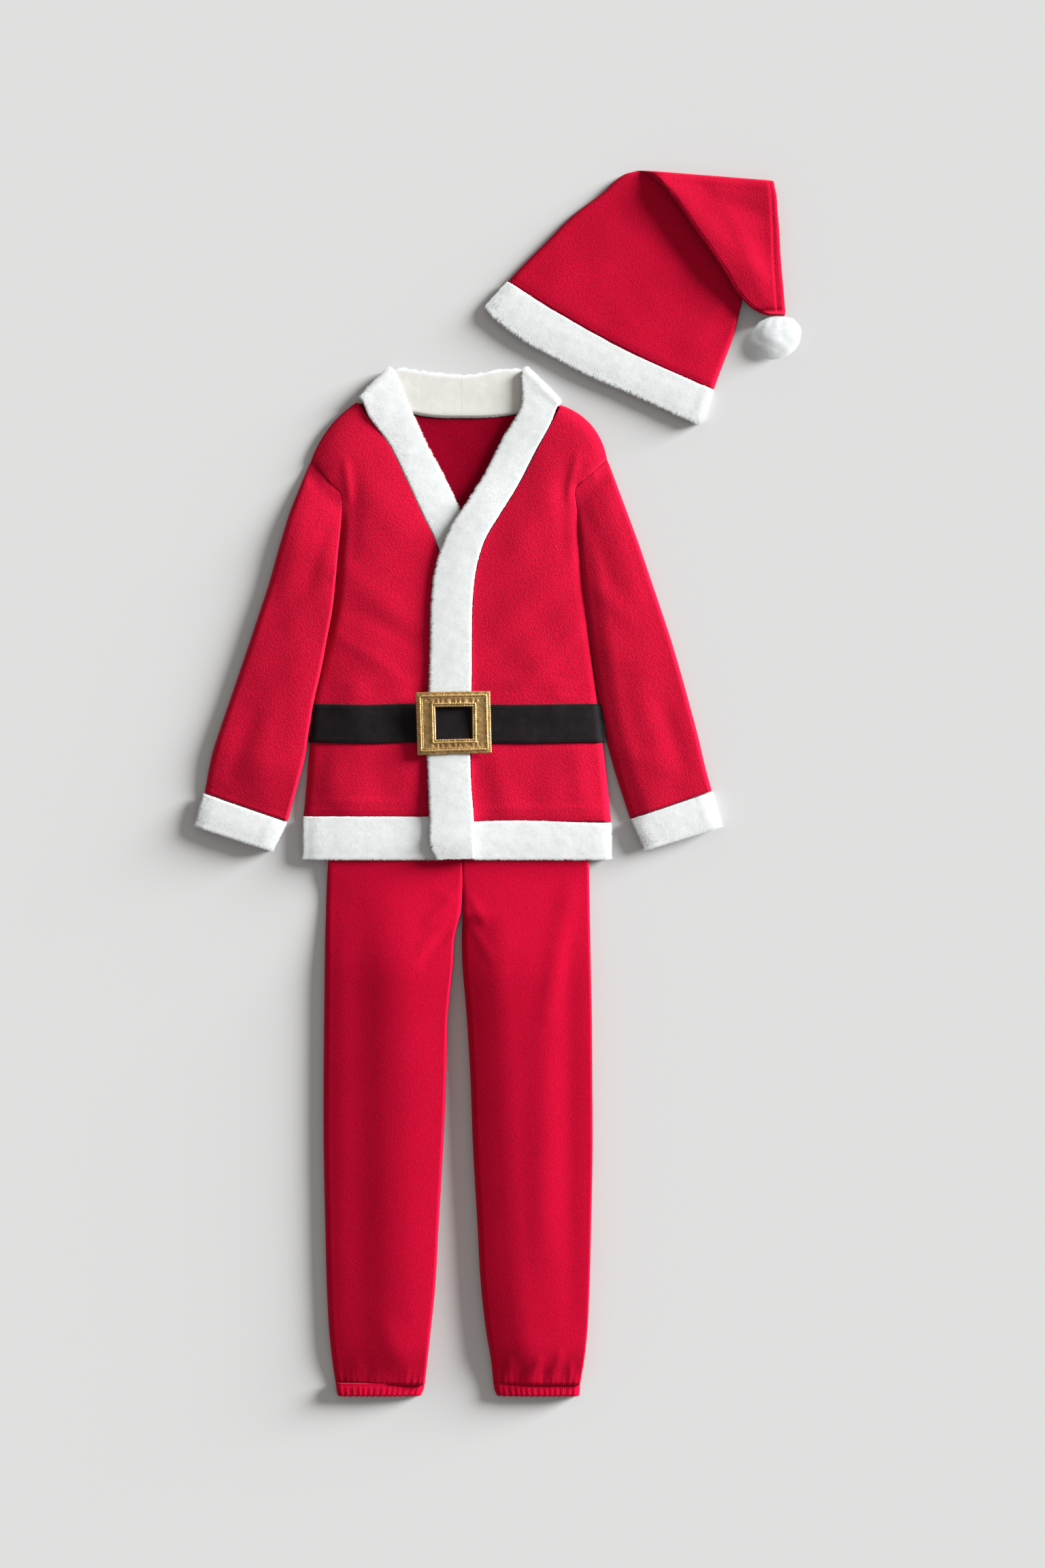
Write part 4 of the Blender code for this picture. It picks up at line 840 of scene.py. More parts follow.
def jacket_front(side):
    def place(u, v):
        ax, ay, bx, by, joined, drop = read(JACKET[side], v)
        reach = SLEEVE_OVERLAP * np.clip(joined * 3.0, 0.0, 1.0)
        bx, by = bx + reach * OUTWARD[side], by + 0.15 * reach
        t = spread(u)
        width = np.hypot(bx - ax, by - ay)
        x, y = between(ax, bx, t), between(ay, by, t)
        z = front_height(side, t * width, width, x, y, joined, drop, np.minimum(ay, by))
        full = SHOULDER[side] * hump(t) * ease((v - 0.8) / 0.2)
        return x + full * FULL_TO[0] * OUTWARD[side], y + full * FULL_TO[1], z

    cloth("jacket_front_" + side, 50, 150, place, RED, wall=CLOTH)


PATCH_STEPS = 200


def resample(points):
    """Evenly spaced places along a line of points."""
    points = np.asarray(points, float)
    run = np.concatenate([[0.0], np.cumsum(np.hypot(*np.diff(points, axis=0).T))])
    at = np.linspace(0.0, run[-1], PATCH_STEPS)
    return np.stack([np.interp(at, run, points[:, 0]), np.interp(at, run, points[:, 1])], axis=1)


def patch(bottom, top, left, right):
    """Fill in between four edge lines that meet at their ends."""
    lines = [resample(line) for line in (bottom, top, left, right)]
    places = np.linspace(0.0, 1.0, PATCH_STEPS)

    def at(line, t):
        return np.stack([np.interp(t, places, line[:, 0]), np.interp(t, places, line[:, 1])], axis=-1)

    def place(u, v):
        low, high, west, east = (at(line, t) for line, t in zip(lines, (u, u, v, v)))
        u, v = u[:, None], v[:, None]
        corners = ((1 - u) * (1 - v) * lines[0][0] + u * (1 - v) * lines[0][-1]
                   + (1 - u) * v * lines[1][0] + u * v * lines[1][-1])
        return ((1 - v) * low + v * high + (1 - u) * west + u * east - corners).T

    return place


def shoulder_line(side, start, end):
    """The back's edge along a shoulder, just inside the front's."""
    slope = np.linspace(0.0, 1.0, 9)[:, None]
    full = hump(slope) * (SHOULDER[side] - 0.5) * [FULL_TO[0] * OUTWARD[side], FULL_TO[1]]
    return [tuple(spot) for spot in between(np.array(start), np.array(end), slope) + full]


def jacket_back():
    sides = {}
    for side in SIDES:
        sides[side] = [(r.side_x, r.side_y) for r in JACKET[side]]
        sides[side][0] = (HEM_SIDE[side], HEM_TOP[side] + 0.3)
    neck = [(r.seam_x, r.seam_y - 0.5) for r in [*reversed(NECK["right"]), *NECK["left"]]]
    top = [*shoulder_line("right", (-162.4, 438.8), (-110.6, 501.9)), *neck,
           *shoulder_line("left", (112.1, 499.1), (163.1, 440.2))]
    fill = patch([sides["right"][0], sides["left"][0]], top, sides["right"], sides["left"])

    def place(u, v):
        x, y = fill(u, v)
        inside = np.clip(np.minimum(np.minimum(u, 1 - u), np.minimum(v, 1 - v)) * 16.0, 0.0, 1.0)
        return x, y, CLOTH - 0.15 + 0.12 * ripple(x, y, 40.0, 3) * inside

    # the back is coloured with painted shade, darker than the fronts
    cloth("jacket_back", 56, 72, place, RED_INSIDE_PAINTED_SHADE, wall=CLOTH - 0.3)


def level_strip(name, across, along, sewn, free, under, thick, **settings):
    """A strip whose two edges, given as places across and up the suit, lie at the same height."""
    strip(name, across, along, np.column_stack([sewn, under]), np.column_stack([free, under]), thick,
          **settings)


def hem_front(side):
    """The lower fur band of a front, from beside the centre band round to the side."""
    seam_x = {"left": 16.2, "right": -18.4}[side]
    shares = np.array([0.0, 0.06, 0.14, 0.25, 0.4, 0.55, 0.7, 0.82, 0.9, 0.96, 0.99, 1.0])
    x = between(seam_x, HEM_SIDE[side], shares)
    width = abs(HEM_SIDE[side] - seam_x)
    outer = {"left": Edge(12.0, 0.9, 30.0), "right": Edge(14.0, 0.6, 60.0)}[side]
    rise = dome(shares * width, width, HEM_CREST, FRONT_SEAM, outer,
                HEM_CREST + {"left": 3.0, "right": 0.0}[side])
    thick = np.array([FUR_THICK] * 9 + [5.8, 5.2, 3.6])
    under = np.maximum(HEM_BED + rise - FUR_THICK, HEM_BED)
    high = HEM_TOP[side] + {"left": 1.2, "right": 0.0}[side] * np.sin(shares * 5.0)
    low = np.full_like(x, HEM_FOOT + 0.4)
    level_strip("hem_band_front_" + side, 40, 70, np.column_stack([x, high]),
                np.column_stack([x, low]), under, thick, thin=0.12)


def hem_back():
    x = np.array([-171.0, -170.0, -167.0, -110.0, -50.0, 0.0, 50.0, 110.0, 164.0, 166.6, 167.6])
    high = np.interp(x, [-30.0, 30.0], [HEM_TOP["right"], HEM_TOP["left"]]) - 0.1
    low = np.full_like(x, HEM_FOOT)
    level_strip("hem_band_back", 30, 80, np.column_stack([x, high]), np.column_stack([x, low]),
                np.zeros_like(x), [1.6, 3.2] + [4.0] * 7 + [3.2, 1.6], lump=0.1)


def fur_band(side):
    """A band runs up its front, turns over at the neck and ends at the centre-back seam."""
    layer = "hidden" if side == "right" else "band"
    rows = []
    for row in BAND[side]:
        level = 0.5 * (row.seam_y + row.free_y)
        under = stack(level, layer + "_under")
        thick = stack(level, layer + "_thick") if rows else BAND_END_THICK
        seam_z = under if row.seam_z is None else row.seam_z
        free_z = under if row.free_z is None else row.free_z
        rows.append((row.seam_x, row.seam_y, seam_z, row.free_x, row.free_y, free_z, 0, 0, 1, thick))
    free, seam = (np.array([x, y, 0.0]) for x, y in NECK_FOLD[side])
    run = unit(seam - free)
    outward = np.array([-run[1], run[0], 0.0])
    outward *= 1.0 if outward[1] > 0.0 else -1.0
    for step in range(FOLD_STEPS + 1):
        angle = math.pi * (1.0 - step / FOLD_STEPS)
        up = outward * math.sin(angle) - np.array([0.0, 0.0, math.cos(angle)])
        lift = np.array([0.0, 0.0, FOLD_AXIS_Z]) + up * FOLD_BORE
        thick = between(FOLD_THICK, NECK_THICK, step / FOLD_STEPS)
        rows.append((*(seam + lift), *(free + lift), *up, thick))
    for row in reversed(NECK[side]):
        rows.append((row.seam_x, row.seam_y, NECK_THICK, row.free_x, row.free_y, NECK_THICK,
                     0, 0, -1, NECK_THICK))
    rows = np.array(rows, float)
    made = strip("front_band_" + side, 44, 260, rows[:, 0:3], rows[:, 3:6], rows[:, 9], rows[:, 6:9])
    made.data.materials.append(CREAM)
    for face in made.data.polygons:
        centre = face.center / MM - type(face.center)(SHIFT)
        inner = abs(centre.x) < 92.0 and centre.y > 482.0 and centre.z < 5.9 and face.normal.z > 0.35
        if inner and abs(centre.x) < 72.0 + (538.0 - centre.y) * 0.45:
            face.material_index = 1


def band_crown(x, y=BELT_Y):
    """The height of what lies over the fur band at the front, which falls away either side."""
    past = np.maximum(0.0, np.abs(x - BELT_CENTRE_X) - BELT_FLAT)
    return stack(y, "band_under") + stack(y, "band_thick") - BELT_FALL * past


def belt(side):
    """The belt lies on the jacket fronts; its left half goes on across the fur band."""
    rows = np.array(JACKET[side][:BELT_READS], float)
    low_y, high_y = rows[BELT_ROWS[0]][1], rows[BELT_ROWS[1]][1]
    start, end = {"left": (-43.0, 161.0), "right": (-36.5, HEM_SIDE["right"] * 0.965)}[side]

    def place(u, v):
        y = between(low_y, high_y, v) + 0.5 * np.sin(u * 7.0 + 1.0)
        seam = np.interp(y, rows[:, 1], rows[:, 0])
        edge = np.interp(y, rows[:, 1], rows[:, 2])
        x = between(start, end, u)
        width = np.abs(edge - seam)
        s = np.clip(np.abs(x - seam), 0.0, width - 0.6)
        none = np.zeros_like(y)
        z = BELT_LIFT + BELT_THICK + front_height(side, s, width, np.sign(edge) * (np.abs(seam) + s),
                                                  y, none, none, y)
        if side == "left":
            over = band_crown(x, y) + BELT_LIFT + BELT_THICK
            z = np.where(x < 16.0, over, between(over, z, ease((x - 16.0) / 12.0)))
        z += 0.25 * ripple(x, y, 34.0, 23)
        z -= 0.5 * bell(np.minimum(v, 1.0 - v) * (high_y - low_y) / 1.3)
        return x, y, z

    cloth("belt_" + side, {"left": 110, "right": 70}[side], 30, place, BLACK, wall=BELT_THICK)


# ------------------------------------------------------------------ sleeves and cuffs

SLEEVE_EDGES = {"left": (Edge(7.0, 0.5, 26.0), Edge(4.0, 0.98, 24.0)),
                "right": (Edge(0.8, 1.0, 2.0), Edge(7.0, 0.5, 88.0))}
CAP_ACROSS = [0.0, 0.28, 0.57, 0.82, 1.0]          # where, across the cap seam,
CAP_HEIGHT = [5.0, 5.0, 4.4, 2.0, 0.0]             # the sleeve stands so high above the rim
CUFF_LIFT = 5.3        # how high the upper strip of a cuff lies
CUFF_RISE = 9.4        # how far its top rises above that
CUFF_BED = 5.0         # thickness of the strip underneath


def sleeve(side):
    """One tube: its upper side, then round its outer edge to the side that it lies on."""
    def place(u, v):
        ax, ay, bx, by, joined, crest = read(SLEEVE[side], v)
        under_side = np.maximum(SLEEVE_OVERLAP * np.clip(joined * 3.0, 0.0, 1.0),
                                1.1 * ease((ay - 130.0) / 30.0))
        ax = ax - OUTWARD[side] * under_side
        tuck = bell(v * 100.0)
        top, t = around(u)
        t = spread(t)
        width = np.hypot(bx - ax, by - ay)
        s = t * width
        x, y = between(ax, bx, t) - OUTWARD[side] * tuck, between(ay, by, t) + 1.2 * tuck
        crown = between(0.3, 0.6, ease(v / 0.1))
        crest = crest + LOFT[side] * ease(v / 0.25) * between(0.42, 1.0, ease((1.0 - v) / 0.16))
        sunk = joined * (np.minimum(crest, CREST) - 0.9 - VALLEY[side] * ease(v / 0.11))
        z = RIM + dome(s, width, crest, *SLEEVE_EDGES[side], sunk, 0.0, crown)
        z += (folds_at("sleeve_" + side, x, y) + 0.3 * ripple(x, y, 48.0, 17)) * within(s, width, 9.0)
        z = between(RIM + np.interp(t, CAP_ACROSS, CAP_HEIGHT), z, ease(v / 0.07))
        z -= 0.3 * tuck + 1.2 * bell((1.0 - v) * 32.0)
        under = RIM * (1.0 - quarter((width - s) / 4.0))
        under += (1.0 - joined) * RIM * (1.0 - quarter(s / 4.0))
        return x, y, np.where(top, z, under)

    cloth("sleeve_" + side, 50, 120, place, RED, wall=1.6, weld="seam")


def cuff(side):
    """Two fur strips across the sleeve's end, on top of it and underneath."""
    shares = np.array([0.0, 0.015, 0.05, 0.12, 0.25, 0.4, 0.6, 0.75, 0.88, 0.95, 0.985, 1.0])
    high, low = (np.column_stack([between(row.in_x, row.out_x, shares),
                                  between(row.in_y, row.out_y, shares)])
                 for row in (CUFF[side][0], CUFF[side][-1]))
    width = np.hypot(*(high[-1] - high[0]))
    shape = edges(side, Edge(16.0, 0.7, 40.0), Edge(16.0, 0.7, 50.0), Edge(12.0, 0.9, 30.0))
    rise = dome(shares * width, width, CUFF_RISE, *shape)
    thick = np.array([2.4, 4.2, 5.6] + [FUR_THICK] * 6 + [5.6, 4.2, 2.4])
    level_strip("cuff_" + side + "_top", 40, 64, high, low,
                np.maximum(CUFF_LIFT + rise - FUR_THICK, CUFF_BED), thick, thin=0.12)
    thick = np.array([2.6, 4.4] + [CUFF_BED] * 8 + [4.4, 2.6])
    level_strip("cuff_" + side + "_under", 24, 48, high, low, 0.5 * (CUFF_BED - thick), thick,
                lump=0.0)


# ------------------------------------------------------------------ trousers

CROTCH_Y = -74.0       # where the two legs part
HEM_BAND_Y = -6.0      # where the legs come out from under the jacket
# How deep the side of a leg that the light doesn't reach sags, and over how broad a part of it.
LEG_SAG = {"left": (0.7, 24.0), "right": (2.2, 50.0)}
CASING_DEPTH = 14.0    # how tall an ankle casing is, for its rolls and its stitched line


def leg_rows(side):
    return [(getattr(r, side + "_in"), r.y, getattr(r, side + "_out"), r.y, r.under, r.crest)
            for r in TROUSERS]


def leg_front(side):
    def place(u, v):
        ax, ay, bx, by, under, crest = read(leg_rows(side), v)
        t = spread(u)
        width = np.abs(bx - ax)
        s = t * width
        x, y = between(ax, bx, t), ay
        sewn = ease((y - CROTCH_Y) / 16.0)
        open_leg = ease((HEM_BAND_Y - y) / 50.0)
        flat = 0.62 * (1.0 - ease((y - CASING_TOP) / 60.0)) ** 2
        crest = crest + LOFT["leg"] * ease((HEM_BAND_Y - y) / 130.0) * (1.0 - flat)
        shape = edges(side, Edge(6.0, 0.52, 50.0), Edge(7.0, 0.40, 96.0), Edge(1.4, 1.0, 4.0))
        z = under + RIM + dome(s, width, crest, *shape, sewn * (crest - 0.6), 0.0, 0.5 * open_leg)
        inside = within(s, width, 10.0) * open_leg
        z += (folds_at("leg_" + side, x, y) + 0.14 * ripple(x, y, 66.0, 29)) * inside
        sag, reach = LEG_SAG[side]
        shaded = s if side == "left" else width - s
        z -= sag * np.clip(1.0 - shaded / reach, 0.0, 1.0) ** 1.5 * inside
        z -= 1.4 * sewn * open_leg * bell(s / 2.4)
        turns = GATHERS * 2.0 * math.pi * (t + 0.006 * np.sin(t * 17.0))
        z += 0.45 * np.cos(turns) * np.exp((CASING_TOP - y) / 7.0) * inside
        z -= 0.5 * np.exp((CASING_TOP - y) / 2.0)
        return x, y, z

    cloth("trouser_front_" + side, 48, 156, place, RED_SMOOTH, wall=2.0)


def leg_back(side):
    def place(u, v):
        ax, ay, bx, _, under, _ = read(leg_rows(side), v)
        return between(ax, bx, u), ay, under + back_height(u, np.abs(bx - ax))

    cloth("trouser_back_" + side, 20, 70, place, RED_SMOOTH, wall=CLOTH - 0.6)


def back_height(u, width):
    """The upper face of a flat back panel, whose two edges are a little rounded."""
    return CLOTH - 0.5 * (1.0 - within(u * width, width, 2.5))


def casing(side):
    """The ankle casing, gathered by its elastic: its front is pleated, its back lies flatter."""
    top_a, top_b, foot_a, foot_b = CASINGS[side]
    shape = edges(side, Edge(8.0, 0.6, 40.0), Edge(8.0, 0.6, 40.0), Edge(6.0, 0.9, 30.0))
    for face, across in (("front", 150), ("back", 50)):
        def place(u, v, face=face):
            a, b = between(top_a, foot_a, v * v), between(top_b, foot_b, v * v)
            t = spread(u, 0.3)
            width = b - a
            s = t * width
            gather = np.cos(GATHERS * 2.0 * math.pi * (t + 0.007 * np.sin(t * 19.0) + 0.003 * v))
            gather += 0.6 * np.cos(GATHERS * 5.3 * math.pi * t + 1.0)
            edge = quarter(np.minimum(v, 1.0 - v) * CASING_DEPTH / 3.0)
            inside = np.clip(np.minimum(s, width - s) / 7.0, 0.0, 1.0)
            y = between(CASING_TOP + 0.4, CASING_FOOT, v) + 0.5 * gather * v * inside
            if face == "front":
                edge = np.where(v < 0.5, 1.0, edge)
                z = 3.3 + dome(s, width, 8.4, *shape, crown=0.6) * (0.6 + 0.4 * edge)
                z += 0.3 * gather * inside * (0.3 + 0.7 * v) * ease(v / 0.4)
                z -= 0.55 * bell((v - 0.13) * CASING_DEPTH / 1.1) * inside
            else:
                z = 2.9 - 0.3 * (1.0 - edge)
            return between(a, b, t), y, z

        cloth("hem_casing_" + side + "_" + face, across, 14, place, RED_SMOOTH, wall=2.4)


def waistband(face):
    base = RIM + {"back": 0.0, "front": 3.3}[face]

    def place(u, v):
        x, y = between(-WAIST_HALF, WAIST_HALF, u), between(WAIST_FOOT, WAIST_TOP, v)
        ends = np.clip(np.minimum(u, 1.0 - u) * 30.0, 0.0, 1.0)
        return x, y, base + 2.7 + 0.25 * np.cos(u * 2.0 * math.pi * 26.0) * ends

    cloth("waistband_" + face, 120, 8, place, RED_SMOOTH, wall=2.2)


# ------------------------------------------------------------------ hat

HAT_TOP = 10.2         # the hat's body stays below this, under its folded tip
HAT_BAND_SHARE = 0.76  # how much of the table's thickness the hat's band has
TIP_LOFT = 4.2         # air under the folded tip's long edge


def hat_row(t, v):
    """A place across a row of the hat's body, and how wide the row is."""
    ax, ay, bx, by, bow = read(HAT_BODY, v)
    width = np.hypot(bx - ax, by - ay)
    nx, ny = -(by - ay) / width, (bx - ax) / width
    return between(ax, bx, t) + nx * bow * hump(t), between(ay, by, t) + ny * bow * hump(t), width


def hat_front():
    def place(u, v):
        t = spread(u)
        x, y, width = hat_row(t, v)
        s = t * width
        z = RIM + dome(s, width, CREST, Edge(7.0, 0.6, 50.0), Edge(4.5, 0.9, 30.0), crown=0.8)
        z -= 0.9 * bell(v * 38.0)
        z += (folds_at("hat", x, y) + 0.3 * ripple(x, y, 66.0, 31)) * within(s, width, 10.0)
        return x, y, np.minimum(z, HAT_TOP)

    # the body is coloured with painted light, lighter than the hat's back
    cloth("hat_front", 60, 66, place, RED_HAT_PAINTED_LIGHT, wall=2.2)


def hat_back():
    def place(u, v):
        x, y, width = hat_row(u, v)
        return x, y, back_height(u, width)

    cloth("hat_back", 30, 30, place, RED_SMOOTH, wall=CLOTH - 0.6)


def hat_band(face):
    rows = np.array(HAT_BAND, float)
    back, front = HAT_BAND_SHARE * rows[:, 4], HAT_BAND_SHARE * rows[:, 5]
    under, thick, lump = (back, front, 0.15) if face == "front" else (np.zeros_like(back), back, 0.0)
    level_strip("hat_band_" + face, 44, 120, rows[:, 2:4], rows[:, 0:2], under, thick, lump=lump,
                thin=0.06)


def hat_tip():
    """The tip folded over onto the hat. Its long edge is a fold, and the line of the two layers runs
    beside it."""
    def place(u, v):
        ax, ay, bx, by, under, thick, seam = read(HAT_TIP, v)
        top, t = around(u)
        t = spread(t, 0.6)
        width = np.hypot(bx - ax, by - ay)
        s = t * width
        x, y = between(ax, bx, t), between(ay, by, t)
        landed = ease((t - 0.45) / 0.4) * np.clip(under, 0.0, 20.0)
        start = 1.0 - ease(v / 0.14)
        above = under + thick - 0.1925 * landed * ease((y - 596.0) / 30.0)
        above -= thick * (0.5 + 0.3 * start) * (1.0 - quarter(s / (3.0 + 22.0 * start)))
        above -= thick * 0.45 * (1.0 - quarter((width - s) / 4.5))
        above += TIP_LOFT * bell(s / 44.0) * ease((v - 0.03) / 0.2) * ease((0.92 - v) / 0.3)
        above += (folds_at("tip", x, y) + 0.25 * ripple(x, y, 50.0, 37)) * within(s, width, 12.0)
        above -= 0.5 * bell((s - 3.4) / 0.8)                   # the line of the two layers
        above -= 1.1 * bell((width - s - seam) / 0.9)          # the seam
        above -= 0.9 * ease((seam - (width - s)) / 1.5)        # the allowance beyond it lies lower
        below = under + thick * 0.5 * (1.0 - quarter(s / 3.0)) - landed * 0.8
        below = np.maximum(below, 0.0) + thick * 0.25 * (1.0 - quarter((width - s) / 3.0))
        below = np.where(t <= 0.0, above, np.minimum(below, above - 0.5))
        return x, y, np.where(top, above, below)

    # the tip is coloured with painted shade, darker than the hat's body
    cloth("hat_tip", 84, 90, place, RED_TIP_PAINTED_SHADE, weld="ends")


def pompom():
    """A ball of plush, drawn into pleats where the tip is sewn into it."""
    half = np.array(POMPOM_HALF) - POMPOM_FUR

    def place(u, v):
        turn, tilt = u * 2.0 * math.pi, v * math.pi
        pleats = 1.0 + np.cos(POMPOM_PLEATS * turn + np.sin(turn * 2.0))
        pinch = 0.10 * bell(tilt) * pleats
        tufts = 0.07 * np.sin(5.0 * turn + 2.0 * np.sin(3.0 * tilt)) * np.sin(4.0 * tilt + 1.0)
        ring = np.sin(tilt) * (1.0 - pinch + tufts * np.sin(tilt))
        x = POMPOM_CENTRE[0] + half[0] * ring * np.cos(turn) + POMPOM_LEAN * np.cos(tilt)
        y = POMPOM_CENTRE[1] + half[1] * np.cos(tilt) * (1.0 - 0.4 * pinch)
        z = POMPOM_CENTRE[2] + half[2] * ring * np.sin(turn)
        return x, y, np.maximum(z, 0.3), np.clip(0.35 + tilt / 1.6, 0.3, 1.0)

    def foot(u, v):
        turn, ring = u * 2.0 * math.pi, POMPOM_FOOT * np.sin(v * math.pi)
        return (POMPOM_CENTRE[0] + POMPOM_HALF[0] * ring * np.cos(turn),
                POMPOM_CENTRE[1] + POMPOM_HALF[1] * ring * np.sin(turn),
                POMPOM_FOOT_Z + 3.0 * np.cos(v * math.pi))

    # light passes through plush: only a foot inside the ball shades the surface that it lies on
    cloth("pompom_foot", 32, 12, foot, WHITE, weld="seam")
    cloth("pompom", 104, 52, place, WHITE, weld="seam").visible_shadow = False


# ------------------------------------------------------------------ buckle

def frame_line(corners, inset, count=48):
    """Points round a four-cornered frame, moved in from its edge."""
    corners = np.array(corners, float)
    centre = corners.mean(axis=0)
    half = np.abs(corners - centre).mean(axis=0)
    corners = centre + (corners - centre) * (1.0 - inset / half)
    shares = np.linspace(0.0, 1.0, count, endpoint=False)[:, None]
    return np.concatenate([between(here, there, shares)
                           for here, there in zip(corners, np.roll(corners, -1, axis=0))])


def buckle_seat(x):
    """The height that the buckle lies at, above the belt."""
    return band_crown(x) + 2.6


def ring_of_cord(name, line, lift, radius, twist, finish):
    """A closed cord along a line of points, with the swell of its twisted strands."""
    count = len(line)

    def place(u, v):
        at = v * count
        i = np.floor(at).astype(int) % count
        j = (i + 1) % count
        spot = between(line[i], line[j], (at - np.floor(at))[:, None])
        run = unit(line[j] - line[i - 1])
        side = np.stack([run[:, 1], -run[:, 0]], axis=-1)
        turn = u * 2.0 * math.pi
        swell = radius * (1.0 + 0.16 * np.cos(2.0 * turn + v * twist * 2.0 * math.pi))
        x, y = (spot + side * (swell * np.cos(turn))[:, None]).T
        return x, y, buckle_seat(x) + lift + swell * np.sin(turn)

    cloth(name, 10, int(count * 2.2), place, finish, weld="seam")


def buckle():
    """A pressed foil frame, puckered beside its cords, with a cord round its edge and its window."""
    outer, inner = np.array(BUCKLE_CORNERS), np.array(BUCKLE_WINDOW)

    def place(u, v):
        at = v * 4.0
        i = np.minimum(np.floor(at).astype(int), 3)
        t = np.clip(at - i, 0.0, 1.0)[:, None]
        far = between(outer[i], outer[(i + 1) % 4], t)
        near = between(inner[i], inner[(i + 1) % 4], t)
        x, y = between(far, near, u[:, None]).T
        level = (i % 2 == 0).astype(float)
        along = np.where(level > 0, x, y)
        pucker = np.sin(along + 1.2 * np.sin(along * 0.31)) * bell((u - 0.72) / 0.24)
        pucker += 0.7 * np.sin(along * 0.8 + 2.0) * bell((u - 0.25) / 0.12)
        z = buckle_seat(x) + 1.5 + (0.15 + 0.6 * level) * pucker + 0.35 * np.sin(u * math.pi)
        return x, y, z - 0.5 * (1.0 - quarter(np.minimum(u, 1.0 - u) / 0.05))

    cloth("buckle", 22, 288, place, GOLD, wall=1.1, weld="seam")
    for name, corners, inset, lift, radius, twist in (
            ("outer", BUCKLE_CORNERS, 4.4, 1.9, 1.15, 150),
            ("edge", BUCKLE_CORNERS, 6.8, 1.6, 0.55, 120),
            ("inner", BUCKLE_WINDOW, -3.6, 1.9, 1.15, 100),
            ("window", BUCKLE_WINDOW, -1.2, 1.7, 0.75, 80)):
        ring_of_cord("buckle_cord_" + name, frame_line(corners, inset), lift, radius, twist, GOLD_CORD)
    ring_of_cord("buckle_tab_stitching", frame_line(BUCKLE_TAB, 0.0, 12), -2.2, 0.5, 60, FELT_EDGE)


# ------------------------------------------------------------------ stitches

STITCH_SECTION = np.array([(0.5, 0.0), (0.25, 0.43), (-0.25, 0.43), (-0.5, 0.0), (-0.25, -0.3),
                           (0.25, -0.3)])
STITCH_TAPER = ((0.0, 0.3), (0.18, 1.0), (0.82, 1.0), (1.0, 0.3))      # how thick, and where along it


def stitches(name, lines, pitch, length, thick, finish):
    """Short threads laid end to end along lines of points, joined into one mesh."""
    corners = []
    for line in lines:
        run = np.concatenate([[0.0], np.cumsum(np.linalg.norm(np.diff(line, axis=0), axis=1))])
        for start in np.arange(pitch * 0.5, run[-1] - length, pitch):
            near, far = (np.array([np.interp(at, run, line[:, axis]) for axis in range(3)])
                         for at in (start, start + length))
            ahead = unit(far - near)
            side = unit(np.cross(ahead, [0.0, 0.0, 1.0]))
            section = STITCH_SECTION[:, :1] * side + STITCH_SECTION[:, 1:] * np.cross(side, ahead)
            loops = [between(near, far, share) + thick * size * section for share, size in STITCH_TAPER]
            for here, next_one in zip(loops, loops[1:]):
                for i in range(6):
                    j = (i + 1) % 6
                    corners += [(here[i], next_one[j], here[j]), (here[i], next_one[i], next_one[j])]
    join_triangles(name, np.array(corners), finish)


# ------------------------------------------------------------------ the whole suit

for side in SIDES:
    jacket_front(side)
    hem_front(side)
    fur_band(side)
    belt(side)
    sleeve(side)
    cuff(side)
    leg_front(side)
    leg_back(side)
    casing(side)
jacket_back()
hem_back()
waistband("front")
waistband("back")
hat_front()
hat_back()
hat_tip()
hat_band("front")
hat_band("back")
pompom()
buckle()

BAND_HAIRS = {"left": 95000, "right": 74000}       # the right band is half hidden


def fur(name, pieces, count, comb, seed, length=3.6, width=0.55, soft=5.0, least_up=0.05, **style):
    """The white pile of fur strips, shaded evenly."""
    pile("pile_" + name, pieces, count, length, width, comb, WHITE_PILE, seed, soft=soft,
         least_up=least_up, **style)


def nap(name, pieces, count, seed):
    """The fine hairs of brushed fleece, which lean down the garment."""
    pile("nap_" + name, pieces, count, 1.3, 0.3, (0.1, -0.7), RED_NAP, seed, wild=0.6)


for side in SIDES:
    fur("hem_" + side, ["hem_band_front_" + side], 44000, (0.9, 0.15), 41)
    fur("cuff_" + side, ["cuff_" + side + "_top", "cuff_" + side + "_under"], 26000, (0.9, 0.1), 43)
    fur("band_" + side, ["front_band_" + side], BAND_HAIRS[side], (0.85, -0.35), 47, length=3.4)
fur("hem_back", ["hem_band_back"], 9000, (0.9, 0.1), 53, length=3.0, soft=6.0, least_up=HAIRS_UP)
fur("hat", ["hat_band_front", "hat_band_back"], 54000, (0.9, 0.1), 59, width=0.6, soft=10.0)
fur("pompom", ["pompom"], 56000, (0.15, 0.8), 61, length=6.4, width=0.8, soft=3.5,
    least_up=HAIRS_UP, wild=1.0, lean=0.45, flat=0.0)
nap("jacket", ["jacket_front_left", "jacket_front_right", "sleeve_left", "sleeve_right"], 44000, 67)
nap("trousers", ["trouser_front_left", "trouser_front_right"], 26000, 71)
nap("hat", ["hat_front", "hat_tip"], 18000, 73)

belt_lines = [surfaces["belt_" + side][0][row] + [0.0, 0.0, 0.15]
              for side in SIDES for row in (3, -4)]
stitches("belt_stitching", belt_lines, 3.0, 2.4, 0.55, BLACK_THREAD)
ankle_lines = [surfaces["hem_casing_" + side + "_front"][0][2, 6:-6] + [0.0, 0.0, 0.2]
               for side in SIDES]
stitches("ankle_stitching", ankle_lines, 2.6, 2.0, 0.4, RED_THREAD)

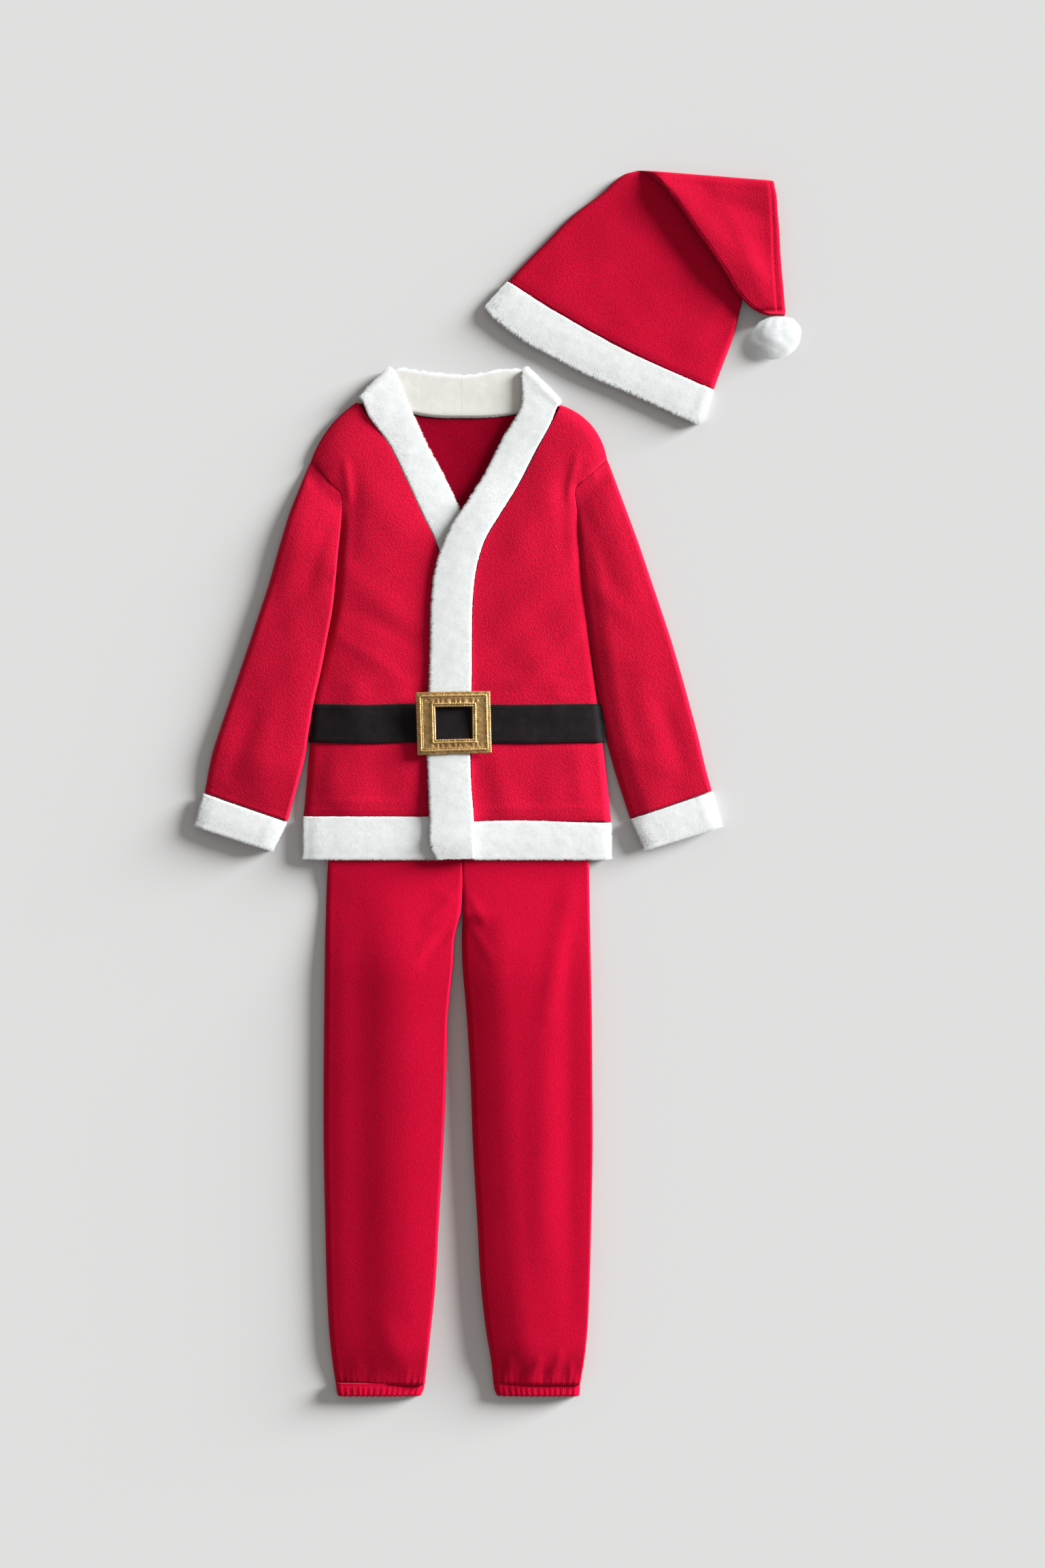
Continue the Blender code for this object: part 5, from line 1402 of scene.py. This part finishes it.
# The cut of each piece of cloth as far as it shows, all round on a sleeve: its width and length, the
# share of them that the cut fills, what it lies on and how it lies.
Cut = namedtuple("Cut", "width length share on held", defaults=((), "laid"))
CUTS = {
    "jacket_back": Cut(339, 442, 0.87),
    "hem_band_back": Cut(341, 45, 0.94),
    "waistband_front": Cut(256, 26, 1.0, ["waistband_back"], "gathered"),
    "waistband_back": Cut(256, 26, 1.0, [], "gathered"),
    "hat_front": Cut(257, 207, 0.81, ["hat_back"]),
    "hat_back": Cut(257, 207, 0.81),
    "hat_tip": Cut(156, 182, 0.57, ["hat_front"], "folded"),
    "hat_band_front": Cut(269, 44, 0.94, ["hat_band_back"]),
    "hat_band_back": Cut(269, 44, 0.94),
    "jacket_front_left": Cut(151, 452, 0.78, ["jacket_back"]),
    "jacket_front_right": Cut(153, 449, 0.78, ["jacket_back"]),
    "hem_band_front_left": Cut(155, 41, 0.97, ["hem_band_back"]),
    "hem_band_front_right": Cut(156, 46, 0.97, ["hem_band_back"]),
    "front_band_left": Cut(49, 742, 0.86, ["front_band_right"], "folded"),
    "front_band_right": Cut(48, 738, 0.75, ["jacket_back"], "folded"),
    "belt_left": Cut(204, 43, 1.0, ["jacket_front_left", "front_band_left"]),
    "belt_right": Cut(129, 43, 1.0, ["jacket_front_right"]),
    "sleeve_left": Cut(206, 380, 0.84),
    "sleeve_right": Cut(208, 378, 0.82),
    "cuff_left_top": Cut(98, 37, 0.97, ["cuff_left_under"]),
    "cuff_left_under": Cut(96, 37, 0.97),
    "cuff_right_top": Cut(98, 35, 0.97, ["cuff_right_under"]),
    "cuff_right_under": Cut(96, 35, 0.97),
    "trouser_front_left": Cut(146, 670, 0.92, ["trouser_back_left"]),
    "trouser_front_right": Cut(153, 670, 0.89, ["trouser_back_right"]),
    "trouser_back_left": Cut(142, 669, 0.92),
    "trouser_back_right": Cut(150, 669, 0.88),
    "hem_casing_left_front": Cut(114, 16, 0.98, ["hem_casing_left_back"], "gathered"),
    "hem_casing_left_back": Cut(98, 15, 0.98, [], "gathered"),
    "hem_casing_right_front": Cut(116, 16, 0.98, ["hem_casing_right_back"], "gathered"),
    "hem_casing_right_back": Cut(100, 15, 0.98, [], "gathered"),
}
replaced = {name: [name] for name in [*CUTS, "pompom", "buckle"]}
for side in SIDES:
    replaced["sleeve_" + side] = ["sleeve_" + side + "_top", "sleeve_" + side + "_under"]
for name, made in shown.items():
    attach(made, "root")
    if name in replaced:
        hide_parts(*replaced[name])


# ------------------------------------------------------------------ camera, surface and light

floor_bm = bmesh.new()
bmesh.ops.create_grid(floor_bm, x_segments=1, y_segments=1, size=6.0)
floor_mesh = bpy.data.meshes.new("surface")
floor_bm.to_mesh(floor_mesh)
floor_bm.free()
floor_mesh.materials.append(TABLE)
floor = link("surface", floor_mesh)
floor.location.z = -0.0005

world = bpy.data.worlds.new("room")
world.use_nodes = True
room = world.node_tree.nodes["Background"].inputs
room["Color"].default_value = (1.0, 0.955, 0.925, 1.0)
room["Strength"].default_value = 0.31
bpy.context.scene.world = world
bpy.context.scene.view_settings.view_transform = "Standard"

# A broad, low light, from the right and a little from the head's side.
SUN_HEIGHT = math.radians(13.0)
SUN_TURN = math.radians(25.0)
lamp = bpy.data.lights.new("window", "SUN")
lamp.energy = 10.3
lamp.angle = math.radians(22.0)
lamp.color = (0.985, 1.0, 1.005)
link("window", lamp).rotation_euler = (0.0, math.radians(90.0) - SUN_HEIGHT, SUN_TURN)

lens = bpy.data.cameras.new("camera")
lens.lens = 62.5
lens.sensor_width = 36.0
lens.clip_end = 20.0
camera = link("camera", lens)
camera.location = (0.0266, -0.0008, 3.0)
bpy.context.scene.camera = camera
